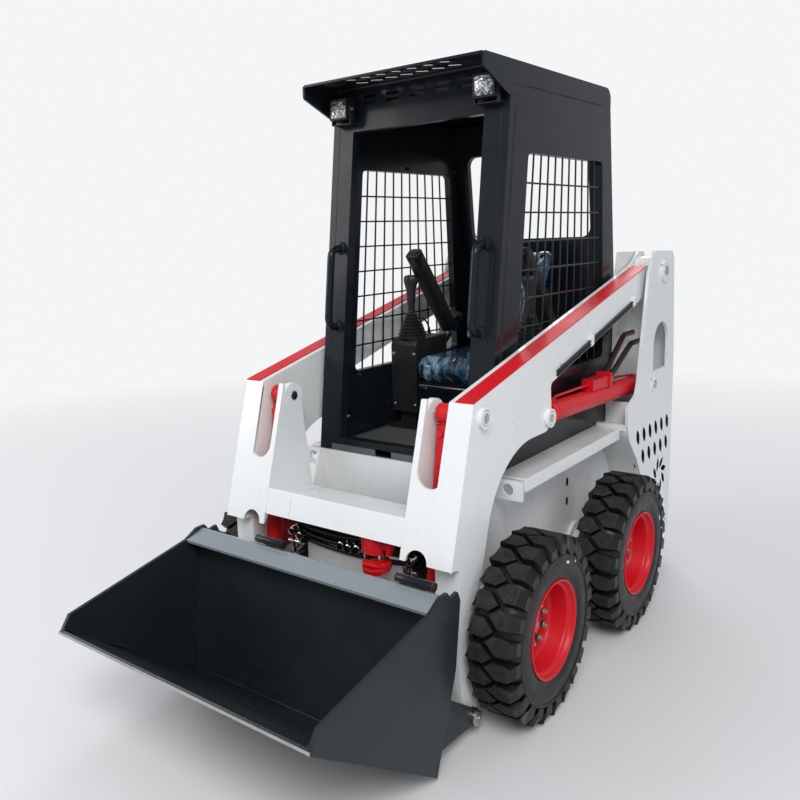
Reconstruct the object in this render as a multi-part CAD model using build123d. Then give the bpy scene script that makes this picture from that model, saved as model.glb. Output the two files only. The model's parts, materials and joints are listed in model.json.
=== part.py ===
from build123d import *
from math import cos, hypot, pi, radians, sin
import os

# Compact skid steer loader with a canopy cab, wheel drive and a general-purpose bucket.
# Millimetres. +Z up, the bucket faces -Y, +X is the machine's left side.
# The origin is on the ground under the middle of the overall box. Places along the
# machine below are measured from the front axle, and every piece moves by FRONT_AXLE_Y.

# Overall
LIP_AHEAD = 1000.0          # front axle to the bucket's cutting lip
TAIL_BEHIND = 1520.0        # front axle to the rear bumper's face
FRONT_AXLE_Y = (LIP_AHEAD - TAIL_BEHIND) / 2

# Wheels
WHEELBASE = 745.0
TYRE_R = 295.0
TYRE_IN = 469.0             # inner side of the tyre, from the middle
TYRE_W = 165.0
TYRE_FLANK = 12.0           # how far the bead stands in from the widest place
LUG_DEPTH = 14.0
LUG_COUNT = 24
LUG_GAP = 13.0
LUG_STEP = 22.0             # how far each end of a lug steps from its middle
LUG_SLANT = 24.0            # half length of the slanted middle
LUG_DROP = 30.0             # how far a lug runs down the shoulder
LUG_SLOPE = 24.0            # width of that slope
RIM_R = 158.0               # outside of the rim flange
RIM_LIP = 9.0
RIM_WALL = 6.0
RIM_DISH = 92.0             # rim edge to the wheel disc
DISC_T = 14.0
HUB_R = 62.0
AXLE_R = 30.0
AXLE_TUBE_T = 18.0
AXLE_FLANGE_R = 78.0
AXLE_FLANGE_T = 14.0

# Chassis
SIDE_X = 360.0              # outer face of the chassis side
SIDE_T = 10.0
CASE_X = 285.0              # inner face of the chain case
CASE_Y = (-60.0, 900.0)
CASE_Z = (165.0, 430.0)
BELLY_Z = 132.0
BELLY_T = 10.0
BELLY_END = 1480.0
DECK_Z = 720.0              # top of the chassis side, the cab's seat
PLATE_T = 10.0
LUG_HOLE_R = 20.0
LUG_X = 417.0
LUG_Z = 688.0
LUG_Y = 86.0
LUG_T = 12.0
LUG_END_X = 468.0
BUMPER_Z = (150.0, 235.0)
BUMPER_T = 18.0
SIDE_HOLES = ((678.0, 551.0), (678.0, 473.0))
SIDE_HOLE = (34.0, 20.0)    # long and short width

# Fenders
FENDER_X = 462.0
FENDER_Y = (126.0, 944.0)
FENDER_T = 8.0
FENDER_LIP = 45.0

# Rear towers
TOWER_X = 480.0             # inner face of the outer plate
TOWER_T = 12.0
TOWER_IN_T = 12.0
PIVOT = (1321.0, 1326.0)    # arm pivot, along and up
PIVOT_R = 22.0
PIVOT_BOSS = (46.0, 10.0)   # radius and height
LIFT_BASE = (1235.0, 856.0)
LIFT_PIN_R = 18.0
LIFT_BOSS = (32.0, 6.0)
FIT = 0.08                  # radial clearance of a pin in its bore
TIE_HOLE = (1452.0, 180.0)  # tie-down hole in the outer plate's rear corner
TIE_HOLE_R = 20.0
WINDOW_AT = (1315.0, 1020.0)
WINDOW_R = 92.0
WINDOW_FOOT = 911.0
VENT_ROWS = ((658.0, 1070.0, 1433.0, 6), (564.0, 1137.0, 1429.0, 5))   # height, first, last, count
VENT = (72.0, 34.0, 20.0)   # leaf length, width and slant
FAN = (1351.0, 426.0)
FAN_RING = 59.0             # middle of the swirl's leaves
FAN_LEAF = (66.0, 25.0, 32.0)
FAN_COUNT = 8

# Lift arms
ARM_IN = 380.0
ARM_OUT = 462.0
ARM_WALL = 8.0
ARM_END_R = 80.0
ARM_TOP = ((-202.0, 1026.0), (1199.0, 1349.0))
ARM_LOW = ((1169.0, 1227.0), (303.0, 1006.0))
ELBOW_R = 300.0
STRIP_IN = 400.0
STRIP_T = 4.0
EAR_IN = 283.0
EAR_T = 20.0
EAR_R = 44.0
SLOT_OUT = 398.0
SLOT_Z = 822.0              # centre of the slot's round bottom
COVER = ((-337.0, 563.0), (-202.0, 1026.0))
TILT_TOP = (-153.0, 978.0)
TILT_PIN_R = 16.0
LIFT_EYE = (285.0, 893.0)
HINGE = (-240.0, 70.0)
HINGE_R = 15.0
LEG_R = 42.0
BOSS_R = 32.0
BOSS_T = 14.0
BOSS_SINK = 5.0
BEAM_Z = (598.0, 682.0)
BEAM_Y = (-326.0, -96.0)
TUBE_R = 5.0                # steel pipes along the arm
TUBE_RUN = (345.0, 1060.0)
CLAMPS = (627.0, 1040.0)

# Cylinders
LIFT_X = 421.0
LIFT_TUBE_R = 36.0
LIFT_BORE_R = 30.0
LIFT_ROD_R = 20.0
LIFT_EYE_R = 36.0
LIFT_EYE_W = 52.0
LIFT_TUBE = (44.0, 884.0)   # tube ends, from the base pin
VALVE = (362.0, 530.0, 74.0)    # lock valve's ends from the base pin, and its height
TILT_X = 341.0
TILT_TUBE_R = 28.0
TILT_BORE_R = 23.0
TILT_ROD_R = 15.0
TILT_EYE_R = 31.0
TILT_EYE_W = 44.0
TILT_TUBE = (36.0, 706.0)
GLAND = 36.0
PISTON = 34.0
PIPE_R = 5.0
HOSE_R = 11.0
CRANK_R = 125.0             # bucket hinge to the tilt rod's pin
CRANK_ANGLE = 105.0         # from +Y, up, at rest

# Bucket, at rest rolled back on its heel
BUCKET_X = 502.0
SHELL_T = 10.0
SIDE_PLATE_T = 12.0
HEEL = (-486.0, 15.0)
LIP = (-LIP_AHEAD, 376.0)
BACK_TOP = (-429.0, 538.0)
CHEEK = (-965.0, 426.0)
EDGE_L = 130.0              # cutting edge plate
EDGE_T = 12.0
FLANGE_L = 75.0             # folded top edge
LUG_PLATE_T = 12.0
QA_IN_X = 296.0             # inner face of the inner lug
QA_MID_X = 366.0            # inner face of the lug that carries hinge and rod
QA_OUT_X = 466.0            # inner face of the outer ear
QA_EAR_R = 27.0
ROD_PIN_R = 30.0            # round end of the lugs at the rod's pin
HANDLES = ((-222.0, -105.0), (336.0, 466.0))    # lock handles lying on the folded edge
LOCK_R = 13.0

# Cab
CAB_X = 358.0
CAB_WALL = 30.0
CAB_H = 1242.0              # deck to the roof seam
ROOF_RISE = 72.0
SHEET = 8.0
FRONT_FOOT = 58.0           # door frame's face at the deck
FRONT_LEAN = 0.134
BACK_FOOT = 1113.0
BACK_BEND = 579.0           # deck to the bend of the rear wall
BACK_LEAN = 78.0
VISOR_REACH = 183.0
VISOR_DROP = 36.0
VISOR_LIP = 45.0
ROOF_CORNER_R = 42.0
WINDOW_SILL = 278.0         # above the deck
WINDOW_HEAD = 203.0         # under the seam
WINDOW_FRONT = (156.0, 146.0)   # door frame to window, at its foot and head
WINDOW_BACK = (103.0, 94.0)
WINDOW_CORNER = 22.0
MESH_BAR = 6.0
MESH_T = 5.0
MESH_COLS = 10
MESH_ROWS = 8
POST_W = 62.0
POST_D = 40.0
SILL_H = 60.0
SILL_SLOT = (-98.0, -27.0, 16.0, 38.0)
HEAD_Z = (-82.0, -37.0)     # door head's ends, from the seam
REAR_WINDOW_X = 275.0
REAR_WINDOW_Z = (-484.0, -130.0)    # from the seam
REAR_WINDOW_R = 38.0
HEADER_SLOTS = (5, 101.0, 56.0, 9.0, (14.0, 34.0))  # count, pitch, width, height, rows above the seam
ROOF_SLOTS = (7, 62.0, 40.0, 18.0, (49.0, 119.0))   # count, pitch, length, width, rows behind the visor
FLOOR_RISE = 20.0
FLOOR_T = 8.0
HANDLE_R = 13.0
HANDLE_X = 298.0
HANDLE_BEND = 36.0
HANDLE_Z = (469.0, 751.0)   # above the deck
HANDLE_OUT = 58.0
LAMP_X = 293.0
LAMP_DROP = 5.0             # lamp's middle under the seam
LAMP_W = 78.0
LAMP_H = 72.0
LAMP_D = 46.0
LAMP_GAP = 14.0
LAMP_RIM = 6.0
BRACKET_T = 4.0
EYE_Y = 620.0
EYE_R = 14.0
EYE_RING = (26.0, 12.0)     # ring radius and thickness
EYE_UP = 24.0

# Seat and controls, heights above the cab floor
SEAT_X = 190.0
SEAT_Y = (430.0, 900.0)
SEAT_Z = (192.0, 292.0)
SEAT_GAP = 0.3
BACK_H = 402.0
BACK_T = 100.0
BACK_RAKE = 85.0
CONSOLE_X = (204.0, 326.0)
CONSOLE_Y = (490.0, 720.0)
CONSOLE_Z = (52.0, 350.0)
PLINTH_INSET = 24.0
LEVER_AT = (263.0, 550.0)
LEVER_H = (115.0, 248.0)    # bellows and knob above the console
BELLOWS_R = 56.0
KNOB_R = 24.0
ARMREST = ((537.0, 690.0), (790.0, 372.0))  # raised armrest's ends
ARMREST_X = (206.0, 268.0)
ARMREST_T = 56.0

# Hood, engine and rear door
HOOD_Y = (1122.0, 1440.0)
HOOD_Z = 1290.0
HOOD_SLOTS = (7, 34.0, 460.0, 16.0)
DOOR_X = 345.0
DOOR_Y = (1462.0, 1500.0)
DOOR_Z = (260.0, 1262.0)
DOOR_EDGE = 8.0
LOUVRES = (8, 52.0, 380.0, 20.0, 10.0, 640.0)   # count, pitch, width, height, depth, lowest
DOOR_AXIS = (-346.0, 1510.0)
DOOR_HINGES = (360.0, 1060.0)   # foot of each hinge
KNUCKLE_R = 9.0
KNUCKLE_H = 32.0
KNUCKLE_GAP = 0.3
DOOR_PIN_R = 5.0
HOOD_ROOM = 210.0           # engine's top under the hood's
ENGINE = (-215.0, 215.0, 1140.0, 1425.0, 240.0, HOOD_Z - HOOD_ROOM)

TYRE_OUT = TYRE_IN + TYRE_W
EAR_OUT = EAR_IN + EAR_T
SLOT_IN = EAR_OUT
SEAM_Z = DECK_Z + CAB_H
ROOF_Z = SEAM_Z + ROOF_RISE
FLOOR_Z = DECK_Z + FLOOR_RISE
FLOOR_TOP = FLOOR_Z + FLOOR_T
CONSOLE_TOP = FLOOR_TOP + CONSOLE_Z[1]
ROD_PIN = (HINGE[0] + CRANK_R * cos(radians(CRANK_ANGLE)), HINGE[1] + CRANK_R * sin(radians(CRANK_ANGLE)))

parts = {}


def block(x0, x1, y0, y1, z0, z1):
    return Pos((x0 + x1) / 2, (y0 + y1) / 2, (z0 + z1) / 2) * Box(abs(x1 - x0), abs(y1 - y0), abs(z1 - z0))


def side_plate(points, x0, x1, radii=None):
    """A plate with a side-view outline, from x0 to x1, its corners rounded by radii."""
    line = FilletPolyline(*points, radius=radii, close=True) if radii else Polyline(*points, close=True)
    return extrude(Plane.YZ.offset(x0) * make_face(line), x1 - x0, dir=(1, 0, 0))


def rod_x(r, at, x0, x1):
    """A round bar across the machine."""
    return Pos((x0 + x1) / 2, at[0], at[1]) * Rot(0, 90, 0) * Cylinder(r, abs(x1 - x0))


def along(p, q, x):
    """A plane at p on the side view, its normal towards q."""
    return Plane(origin=(x, p[0], p[1]), x_dir=(1, 0, 0), z_dir=(0, q[0] - p[0], q[1] - p[1]))


def bar(plane, r, a, b):
    """A round bar on a plane's normal, from a to b."""
    return plane * Pos(0, 0, (a + b) / 2) * Cylinder(r, b - a)


def pipe(points, r, bend):
    """A bent round tube through points."""
    line = FilletPolyline(*points, radius=bend) if len(points) > 2 else Line(*points)
    return sweep(Plane(origin=line @ 0, z_dir=line % 0) * Circle(r), path=line)


def both(shape):
    return Part() + [shape, mirror(shape, about=Plane.YZ)]


def dist(p, q):
    return hypot(q[0] - p[0], q[1] - p[1])


def on_line(p, q, z):
    """Place along the machine where the line p-q reaches height z."""
    return p[0] + (q[0] - p[0]) * (z - p[1]) / (q[1] - p[1])


def leaf(size, turn, at, x0, x1):
    """A leaf-shaped cutter across the machine, two arcs that meet in points."""
    length, width = size
    r = (length ** 2 + width ** 2) / (4 * width)
    off = r - width / 2
    return Pos(0, *at) * Rot(turn, 0, 0) * (rod_x(r, (off, 0), x0, x1) & rod_x(r, (-off, 0), x0, x1))


def spread(first, last, count):
    return [first + (last - first) * i / (count - 1) for i in range(count)]


def save(name, shape):
    parts[name] = Pos(0, FRONT_AXLE_Y, 0) * shape


# Wheels
def tyre():
    """A tyre with slanted lugs that meet the shoulders square and run down them."""
    a, b, r = TYRE_IN, TYRE_OUT, TYRE_R - LUG_DEPTH
    seat, s, widest = RIM_R - RIM_LIP, LUG_SLOPE, (RIM_R + TYRE_R - LUG_DEPTH) / 2
    profile = [(a + TYRE_FLANK, seat), (a, widest), (a + s, r), (b - s, r), (b, widest),
               (b - TYRE_FLANK, RIM_R + 2), (b - TYRE_FLANK, seat)]
    body = revolve(make_face(Polyline(*profile, close=True)), Axis.X)
    mid, w = (a + b) / 2, (2 * pi * TYRE_R / LUG_COUNT - LUG_GAP) / 2
    edge = [(a, LUG_STEP), (mid - LUG_SLANT, LUG_STEP), (mid + LUG_SLANT, -LUG_STEP), (b, -LUG_STEP)]
    outline = [(x, y - w) for x, y in edge] + [(x, y + w) for x, y in edge[::-1]]
    tip = 3.0
    section = [(a + tip, widest), (a + tip, TYRE_R - LUG_DROP), (a + s, TYRE_R), (b - s, TYRE_R),
               (b - tip, TYRE_R - LUG_DROP), (b - tip, widest), (b - 2 * s, r - LUG_DROP), (a + 2 * s, r - LUG_DROP)]
    lug = extrude(Plane.XZ.offset(-TYRE_W) * make_face(Polyline(*section, close=True)), 2 * TYRE_W)
    lug &= extrude(make_face(Polyline(*outline, close=True)), TYRE_R + 1)
    lug &= rod_x(TYRE_R, (0, 0), a, b)
    return body + [Rot(360 / LUG_COUNT * i, 0, 0) * lug for i in range(LUG_COUNT)]


def rim():
    """A welded rim: barrel, flange and a dished disc with a raised hub."""
    a, b, r = TYRE_IN + TYRE_FLANK, TYRE_OUT - TYRE_FLANK, RIM_R - RIM_LIP - SEAT_GAP
    disc, barrel_r = b - RIM_DISH, RIM_R - RIM_LIP - RIM_WALL
    flange = b + SEAT_GAP
    profile = [(a, r), (flange, r), (flange, RIM_R), (b + RIM_WALL, RIM_R), (b + RIM_WALL, barrel_r),
               (disc + DISC_T, barrel_r - RIM_WALL), (disc + RIM_WALL, HUB_R + DISC_T), (disc + DISC_T, HUB_R),
               (disc + DISC_T, AXLE_R + FIT), (disc, AXLE_R + FIT), (disc, barrel_r - RIM_WALL), (a, barrel_r)]
    return revolve(make_face(Polyline(*profile, close=True)), Axis.X)


ONE_TYRE, ONE_RIM = tyre(), rim()
for side_name, flip in (("left", 1), ("right", -1)):
    for end_name, y in (("front", 0.0), ("rear", WHEELBASE)):
        for piece, shape in (("tyre", ONE_TYRE), ("rim", ONE_RIM)):
            placed = shape if flip == 1 else mirror(shape, about=Plane.YZ)
            save(f"{piece}_{end_name}_{side_name}", Pos(0, y, TYRE_R) * placed)

AXLE_END = TYRE_OUT - TYRE_FLANK - RIM_DISH + 2 * DISC_T
axles = []
for y in (0.0, WHEELBASE):
    axles.append(rod_x(AXLE_R + AXLE_TUBE_T, (y, TYRE_R), SIDE_X, TYRE_IN + TYRE_FLANK)
                 + rod_x(AXLE_FLANGE_R, (y, TYRE_R), SIDE_X, SIDE_X + AXLE_FLANGE_T)
                 + rod_x(AXLE_R, (y, TYRE_R), TYRE_IN + TYRE_FLANK, AXLE_END))
save("axle_housings", both(Part() + axles))

# Chassis
NOSE = [(46, DECK_Z + 15), (40, 560), (-10, 432), (-70, 420), (-76, 210), (-24, BELLY_Z)]


def bent_plate(line, t, x0, x1):
    """A folded plate: the line, and the same line moved back by t."""
    back = [(y + t, z - (t * 0.5 if i in (2, 3) else 0)) for i, (y, z) in enumerate(line)]
    return side_plate(list(line) + back[::-1], x0, x1)


side_wall = side_plate([(-76, 210), (-70, 420), (-10, 560), (46, DECK_Z), (BELLY_END, DECK_Z), (BELLY_END, BELLY_Z),
                        (-24, BELLY_Z)], SIDE_X - SIDE_T, SIDE_X)
for y, z in SIDE_HOLES:
    side_wall -= Pos(SIDE_X, y, z) * Rot(0, 90, 0) * extrude(SlotOverall(*SIDE_HOLE), 2 * SIDE_T, both=True)
chain_case = block(CASE_X, SIDE_X - SIDE_T, *CASE_Y, *CASE_Z)
bracket = block(SIDE_X - SIDE_T, LUG_END_X, LUG_Y, LUG_Y + LUG_T, LUG_Z - 34, DECK_Z)
bracket -= Pos(LUG_X, LUG_Y + LUG_T / 2, LUG_Z) * Rot(90, 0, 0) * Cylinder(LUG_HOLE_R, LUG_T * 3)
chassis = both(side_wall + chain_case + bracket)
chassis += block(-SIDE_X, SIDE_X, -24, BELLY_END, BELLY_Z, BELLY_Z + BELLY_T)
chassis += bent_plate(NOSE, PLATE_T, -SIDE_X + SIDE_T, SIDE_X - SIDE_T)
chassis += block(-TOWER_X, TOWER_X, TAIL_BEHIND - BUMPER_T, TAIL_BEHIND, *BUMPER_Z)
chassis += both(block(SIDE_X - 60, SIDE_X - SIDE_T, 1380, TAIL_BEHIND - BUMPER_T, *BUMPER_Z))
chassis += both(block(ENGINE[1] - 60, ENGINE[1] - 20, ENGINE[2], ENGINE[3], BELLY_Z + BELLY_T, ENGINE[4]))
save("chassis_frame", chassis)

# Fenders
fender = block(SIDE_X, FENDER_X, *FENDER_Y, DECK_Z - FENDER_T, DECK_Z)
fender += block(FENDER_X - FENDER_T, FENDER_X, *FENDER_Y, DECK_Z - FENDER_LIP, DECK_Z)
save("fenders", both(fender))

# Rear towers
TOWER_OUTLINE = [(1200, 1411), (1144, 1328), (1092, 1060), (1058, 889), (1037, 842), (944, 805), (951, 734),
                 (967, 670), (1066, 563), (1127, 470), (1165, 300), (1165, 124), (1501, 124), (1494, 922),
                 (1450, 1372), (1423, 1405)]
INNER_OUTLINE = [(1130, 1411), (1110, 1330), (1100, 900), (1060, 842), (1060, 640), (1165, 300), (1165, 124),
                 (1491, 124), (1484, 922), (1440, 1372), (1415, 1405)]
REAR_LINE = [(1450, 1372), (1494, 922), (1501, 124), (1491, 124), (1484, 922), (1440, 1372)]
ARCH_LINE = [(951, 734), (967, 670), (1066, 563), (1127, 470), (1165, 300), (1165, 124), (1175, 124),
             (1175, 302), (1136, 474), (1074, 569), (978, 673), (964, 734)]
outer_at = (TOWER_X - 5, TOWER_X + TOWER_T + 5)

outer = side_plate(TOWER_OUTLINE, TOWER_X, TOWER_X + TOWER_T)
outer -= rod_x(WINDOW_R, WINDOW_AT, *outer_at)
outer -= block(*outer_at, WINDOW_AT[0] - WINDOW_R, WINDOW_AT[0] + WINDOW_R, WINDOW_FOOT, WINDOW_AT[1])
outer -= rod_x(TIE_HOLE_R, TIE_HOLE, *outer_at)
for z, first, last, count in VENT_ROWS:
    outer -= [leaf(VENT[:2], VENT[2], (y, z), *outer_at) for y in spread(first, last, count)]
for i in range(FAN_COUNT):
    turn = 360 / FAN_COUNT * (i + 0.5)
    at = (FAN[0] + FAN_RING * cos(radians(turn)), FAN[1] + FAN_RING * sin(radians(turn)))
    outer -= leaf(FAN_LEAF[:2], turn + 90 - FAN_LEAF[2], at, *outer_at)
inner = side_plate(INNER_OUTLINE, SIDE_X, SIDE_X + TOWER_IN_T)
rear = side_plate(REAR_LINE, SIDE_X, TOWER_X + TOWER_T)
shelf = block(SIDE_X, TOWER_X, FENDER_Y[1], 1060, DECK_Z - FENDER_T, DECK_Z)
front_wall = block(SIDE_X, TOWER_X, 1050, 1060, DECK_Z, 806)
arch = side_plate(ARCH_LINE, SIDE_X, TOWER_X)
tower = outer + inner + rear + shelf + front_wall + arch
tower += rod_x(LIFT_BOSS[0], LIFT_BASE, TOWER_X + TOWER_T, TOWER_X + TOWER_T + LIFT_BOSS[1])
tower += rod_x(PIVOT_BOSS[0], PIVOT, TOWER_X + TOWER_T, TOWER_X + TOWER_T + PIVOT_BOSS[1])
tower += rod_x(PIVOT_R, PIVOT, SIDE_X, TOWER_X + TOWER_T)
tower += rod_x(LIFT_PIN_R, LIFT_BASE, SIDE_X, TOWER_X + TOWER_T)
save("rear_tower_left", tower)
right_tower = mirror(tower, about=Plane.YZ)
door_eyes = []
for z in DOOR_HINGES:
    rear_foot, rear_head = (REAR_LINE[1], REAR_LINE[2]) if z < REAR_LINE[1][1] else (REAR_LINE[0], REAR_LINE[1])
    face_y = on_line(rear_foot, rear_head, z)
    right_tower += block(-SIDE_X - 24, DOOR_AXIS[0], face_y - 12, DOOR_AXIS[1] + 4, z, z + KNUCKLE_H)
    right_tower += Pos(*DOOR_AXIS, z + KNUCKLE_H / 2) * Cylinder(KNUCKLE_R, KNUCKLE_H)
    right_tower += Pos(*DOOR_AXIS, z + KNUCKLE_H) * Cylinder(DOOR_PIN_R, 2 * KNUCKLE_H)
    foot, head = z + KNUCKLE_H + KNUCKLE_GAP, z + 2 * KNUCKLE_H + KNUCKLE_GAP
    eye = Pos(*DOOR_AXIS, (foot + head) / 2) * Cylinder(KNUCKLE_R, KNUCKLE_H)
    eye += block(DOOR_AXIS[0], DOOR_AXIS[0] + 30, DOOR_Y[1] - 1, DOOR_AXIS[1], foot, head)
    door_eyes.append(eye - Pos(*DOOR_AXIS, z + KNUCKLE_H) * Cylinder(DOOR_PIN_R + FIT, 4 * KNUCKLE_H))
save("rear_tower_right", right_tower)

# Lift arms: a rounded outline, two side plates, and the webs that close the box between them
LEG_FRONT = [(-282, 70), (-294, 235), (-292, 556), COVER[0]]
ARM_OUTLINE = [ARM_TOP[0], ARM_TOP[1], (1240, 1326), ARM_LOW[0], ARM_LOW[1], (316, 848), (-55, 849), (-200, 374),
               (-198, 70)] + LEG_FRONT
ARM_RADII = [2, 2, 2, 30, 20, 50, ELBOW_R, 460, 2, 2, 60, 6, 2]


def arm_face(grow=0.0):
    outline = make_face(FilletPolyline(*ARM_OUTLINE, radius=ARM_RADII, close=True))
    return offset(outline, grow) if grow else outline


def across(face, x0, x1):
    return extrude(Plane.YZ.offset(x0) * face, x1 - x0, dir=(1, 0, 0))


def arm_side(x0, x1):
    plate = across(arm_face(), x0, x1) + rod_x(ARM_END_R, PIVOT, x0, x1) + rod_x(LEG_R, HINGE, x0, x1)
    return plate + side_plate([ARM_LOW[0], ARM_TOP[1], (PIVOT[0], PIVOT[1] + ARM_END_R - 1),
                               (PIVOT[0], PIVOT[1] - ARM_END_R)], x0, x1)


def boss(at, pin_r):
    """A raised ring round a pin, sunk between ring and pin."""
    ring = rod_x(BOSS_R, at, ARM_OUT, ARM_OUT + BOSS_T)
    well = rod_x(BOSS_R - 7, at, ARM_OUT + BOSS_T - BOSS_SINK, ARM_OUT + BOSS_T + 1)
    return ring - (well - rod_x(pin_r + 5, at, ARM_OUT, ARM_OUT + BOSS_T + 2))


web = across(arm_face() - arm_face(-ARM_WALL), ARM_IN, ARM_OUT)
web -= block(ARM_IN - 1, ARM_OUT + 1, 118, 345, 800, 1024)              # the lift cylinder comes up here
web -= block(ARM_IN - 1, ARM_OUT + 1, -400, HINGE[0] + LEG_R, 0, HINGE[1] + 20)
web -= block(ARM_IN - 1, ARM_OUT + 1, 1172, 1300, 1200, 1345)
web -= side_plate([(COVER[0][0] - 9, COVER[0][1] + 2), (COVER[1][0] - 9, COVER[1][1] - 10), (COVER[1][0] + 12, COVER[1][1] - 10),
                   (COVER[0][0] + 12, COVER[0][1] + 2)], ARM_IN - 1, ARM_OUT + 1)
arm = arm_side(ARM_IN, ARM_IN + ARM_WALL) + arm_side(ARM_OUT - ARM_WALL, ARM_OUT) + web
arm += rod_x(ARM_END_R - 20, PIVOT, ARM_IN - 4, ARM_OUT + BOSS_T) + rod_x(LEG_R, HINGE, ARM_IN, ARM_OUT)

# the front cover, its slot and the inner ear
cover = side_plate([*COVER, (COVER[1][0] + PLATE_T, COVER[1][1]), (COVER[0][0] + PLATE_T, COVER[0][1])], EAR_IN, ARM_OUT)
slot_mid, slot_r = (SLOT_IN + SLOT_OUT) / 2, (SLOT_OUT - SLOT_IN) / 2
cover -= Pos(slot_mid, COVER[0][0], SLOT_Z) * Rot(90, 0, 0) * Cylinder(slot_r, 400)
cover -= block(SLOT_IN, SLOT_OUT, COVER[0][0] - 50, TILT_TOP[0], SLOT_Z, COVER[1][1] + 50)
cover -= Pos(TILT_X, COVER[0][0], COVER[0][1]) * Rot(90, 0, 0) * Cylinder(TILT_TUBE_R + 10, 100)
ear = side_plate([COVER[0], (on_line(*COVER, 1000), 1000), TILT_TOP, (-115, 955), (-76, 624), (-76, BEAM_Z[0]),
                  (-300, BEAM_Z[0])], EAR_IN, EAR_OUT)
ear += rod_x(EAR_R, TILT_TOP, EAR_IN, EAR_OUT)
bores = rod_x(PIVOT_R + FIT, PIVOT, EAR_IN, TOWER_X + TOWER_T) + rod_x(TILT_PIN_R + FIT, TILT_TOP, EAR_IN - 9, TOWER_X)
bores += rod_x(HINGE_R + FIT, HINGE, EAR_IN, TOWER_X)

# two pipes and their clamps on the outer face, just above the lower edge
low_dir = (ARM_LOW[0][0] - ARM_LOW[1][0], ARM_LOW[0][1] - ARM_LOW[1][1])
low_slope = low_dir[1] / low_dir[0]


def arm_edge(y, up):
    return (y, ARM_LOW[1][1] + (y - ARM_LOW[1][0]) * low_slope + up)


for up in (12.0, 25.0):
    ends = [(ARM_OUT + TUBE_R - 0.5, *arm_edge(y, up)) for y in TUBE_RUN]
    arm += pipe(ends, TUBE_R, 0)
for y in CLAMPS:
    foot, head = arm_edge(y, 3), arm_edge(y, 36)
    arm += side_plate([(y - 12, foot[1]), (y + 12, foot[1] + 24 * low_slope), (y + 12, head[1] + 24 * low_slope),
                       (y - 12, head[1])], ARM_OUT - 1, ARM_OUT + 2 * TUBE_R + 1)
arm_all = arm + cover + ear + boss(TILT_TOP, TILT_PIN_R) + boss(LIFT_EYE, TILT_PIN_R) - bores
save("arm_left", arm_all)
save("arm_right", mirror(arm_all, about=Plane.YZ))

beam = side_plate([(BEAM_Y[0], BEAM_Z[0]), (BEAM_Y[0] + 24, BEAM_Z[1]), (BEAM_Y[1], BEAM_Z[1] - 42), (BEAM_Y[1], BEAM_Z[0])],
                  -EAR_IN, EAR_IN)
save("cross_beam", beam)
strip = side_plate([ARM_TOP[0], ARM_TOP[1], (ARM_TOP[1][0], ARM_TOP[1][1] + STRIP_T), (ARM_TOP[0][0], ARM_TOP[0][1] + STRIP_T)],
                   STRIP_IN, ARM_OUT)
save("arm_strips", both(strip))
save("arm_pins", both(rod_x(TILT_PIN_R, TILT_TOP, EAR_IN - 4, ARM_OUT + BOSS_T)))

# Auxiliary coupler under the beam: drum, pressure lever, strap and hand wheel
coupler_x, coupler_y, coupler_z = 152.0, -285.0, BEAM_Z[0]
coupler = Pos(coupler_x, coupler_y, coupler_z - 44) * Cylinder(33, 88 - 2 * SEAT_GAP)
coupler += Pos(coupler_x - 37, coupler_y - 8, coupler_z - 32) * Rot(0, -4, 0) * Cylinder(7, 62)
coupler += block(coupler_x - 38, coupler_x, coupler_y - 12, coupler_y + 2, coupler_z - 62, coupler_z - 50)
coupler += block(coupler_x + 20, coupler_x + 66, coupler_y - 10, coupler_y + 10, coupler_z - 40, coupler_z - 20)
coupler += Pos(coupler_x + 62, coupler_y, coupler_z - 36) * Rot(0, 24, 0) * Cylinder(10, 40)
coupler += Pos(coupler_x + 12, coupler_y - 6, coupler_z - 98) * Rot(14, 0, 0) * (Cylinder(46, 16) + Pos(0, 0, 12) * Cylinder(20, 26))
save("aux_coupler", coupler)

# Bucket
floor_dir = Vector(0, LIP[0] - HEEL[0], LIP[1] - HEEL[1]).normalized()
shell = side_plate([LIP, HEEL, BACK_TOP, (BACK_TOP[0] - SHELL_T, BACK_TOP[1]), (HEEL[0] - 12, HEEL[1] + 22),
                    (LIP[0], LIP[1] + SHELL_T)], -BUCKET_X, BUCKET_X)
fold = (BACK_TOP[0] - FLANGE_L, BACK_TOP[1] - 22)
shell += side_plate([BACK_TOP, fold, (fold[0] + 2, fold[1] - SHELL_T), (BACK_TOP[0] - 4, BACK_TOP[1] - 12)], -BUCKET_X, BUCKET_X)
edge_up = SHELL_T + EDGE_T
edge_back = (LIP[0] - floor_dir.Y * EDGE_L, LIP[1] - floor_dir.Z * EDGE_L)
shell += side_plate([LIP, edge_back, (edge_back[0], edge_back[1] + edge_up), (LIP[0] - floor_dir.Y * EDGE_T, LIP[1] + SHELL_T + 1)],
                    -BUCKET_X, BUCKET_X)
cheek = side_plate([LIP, HEEL, (BACK_TOP[0] + 49, 300), (BACK_TOP[0] + 77, 498), (BACK_TOP[0] + 64, 527), (BACK_TOP[0] + 28, 521),
                    (BACK_TOP[0] + 11, BACK_TOP[1] + 6), (BACK_TOP[0] - 24, BACK_TOP[1] + 5), fold, CHEEK],
                   BUCKET_X - SIDE_PLATE_T, BUCKET_X)
shell += both(cheek)
save("bucket_shell", shell)

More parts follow.
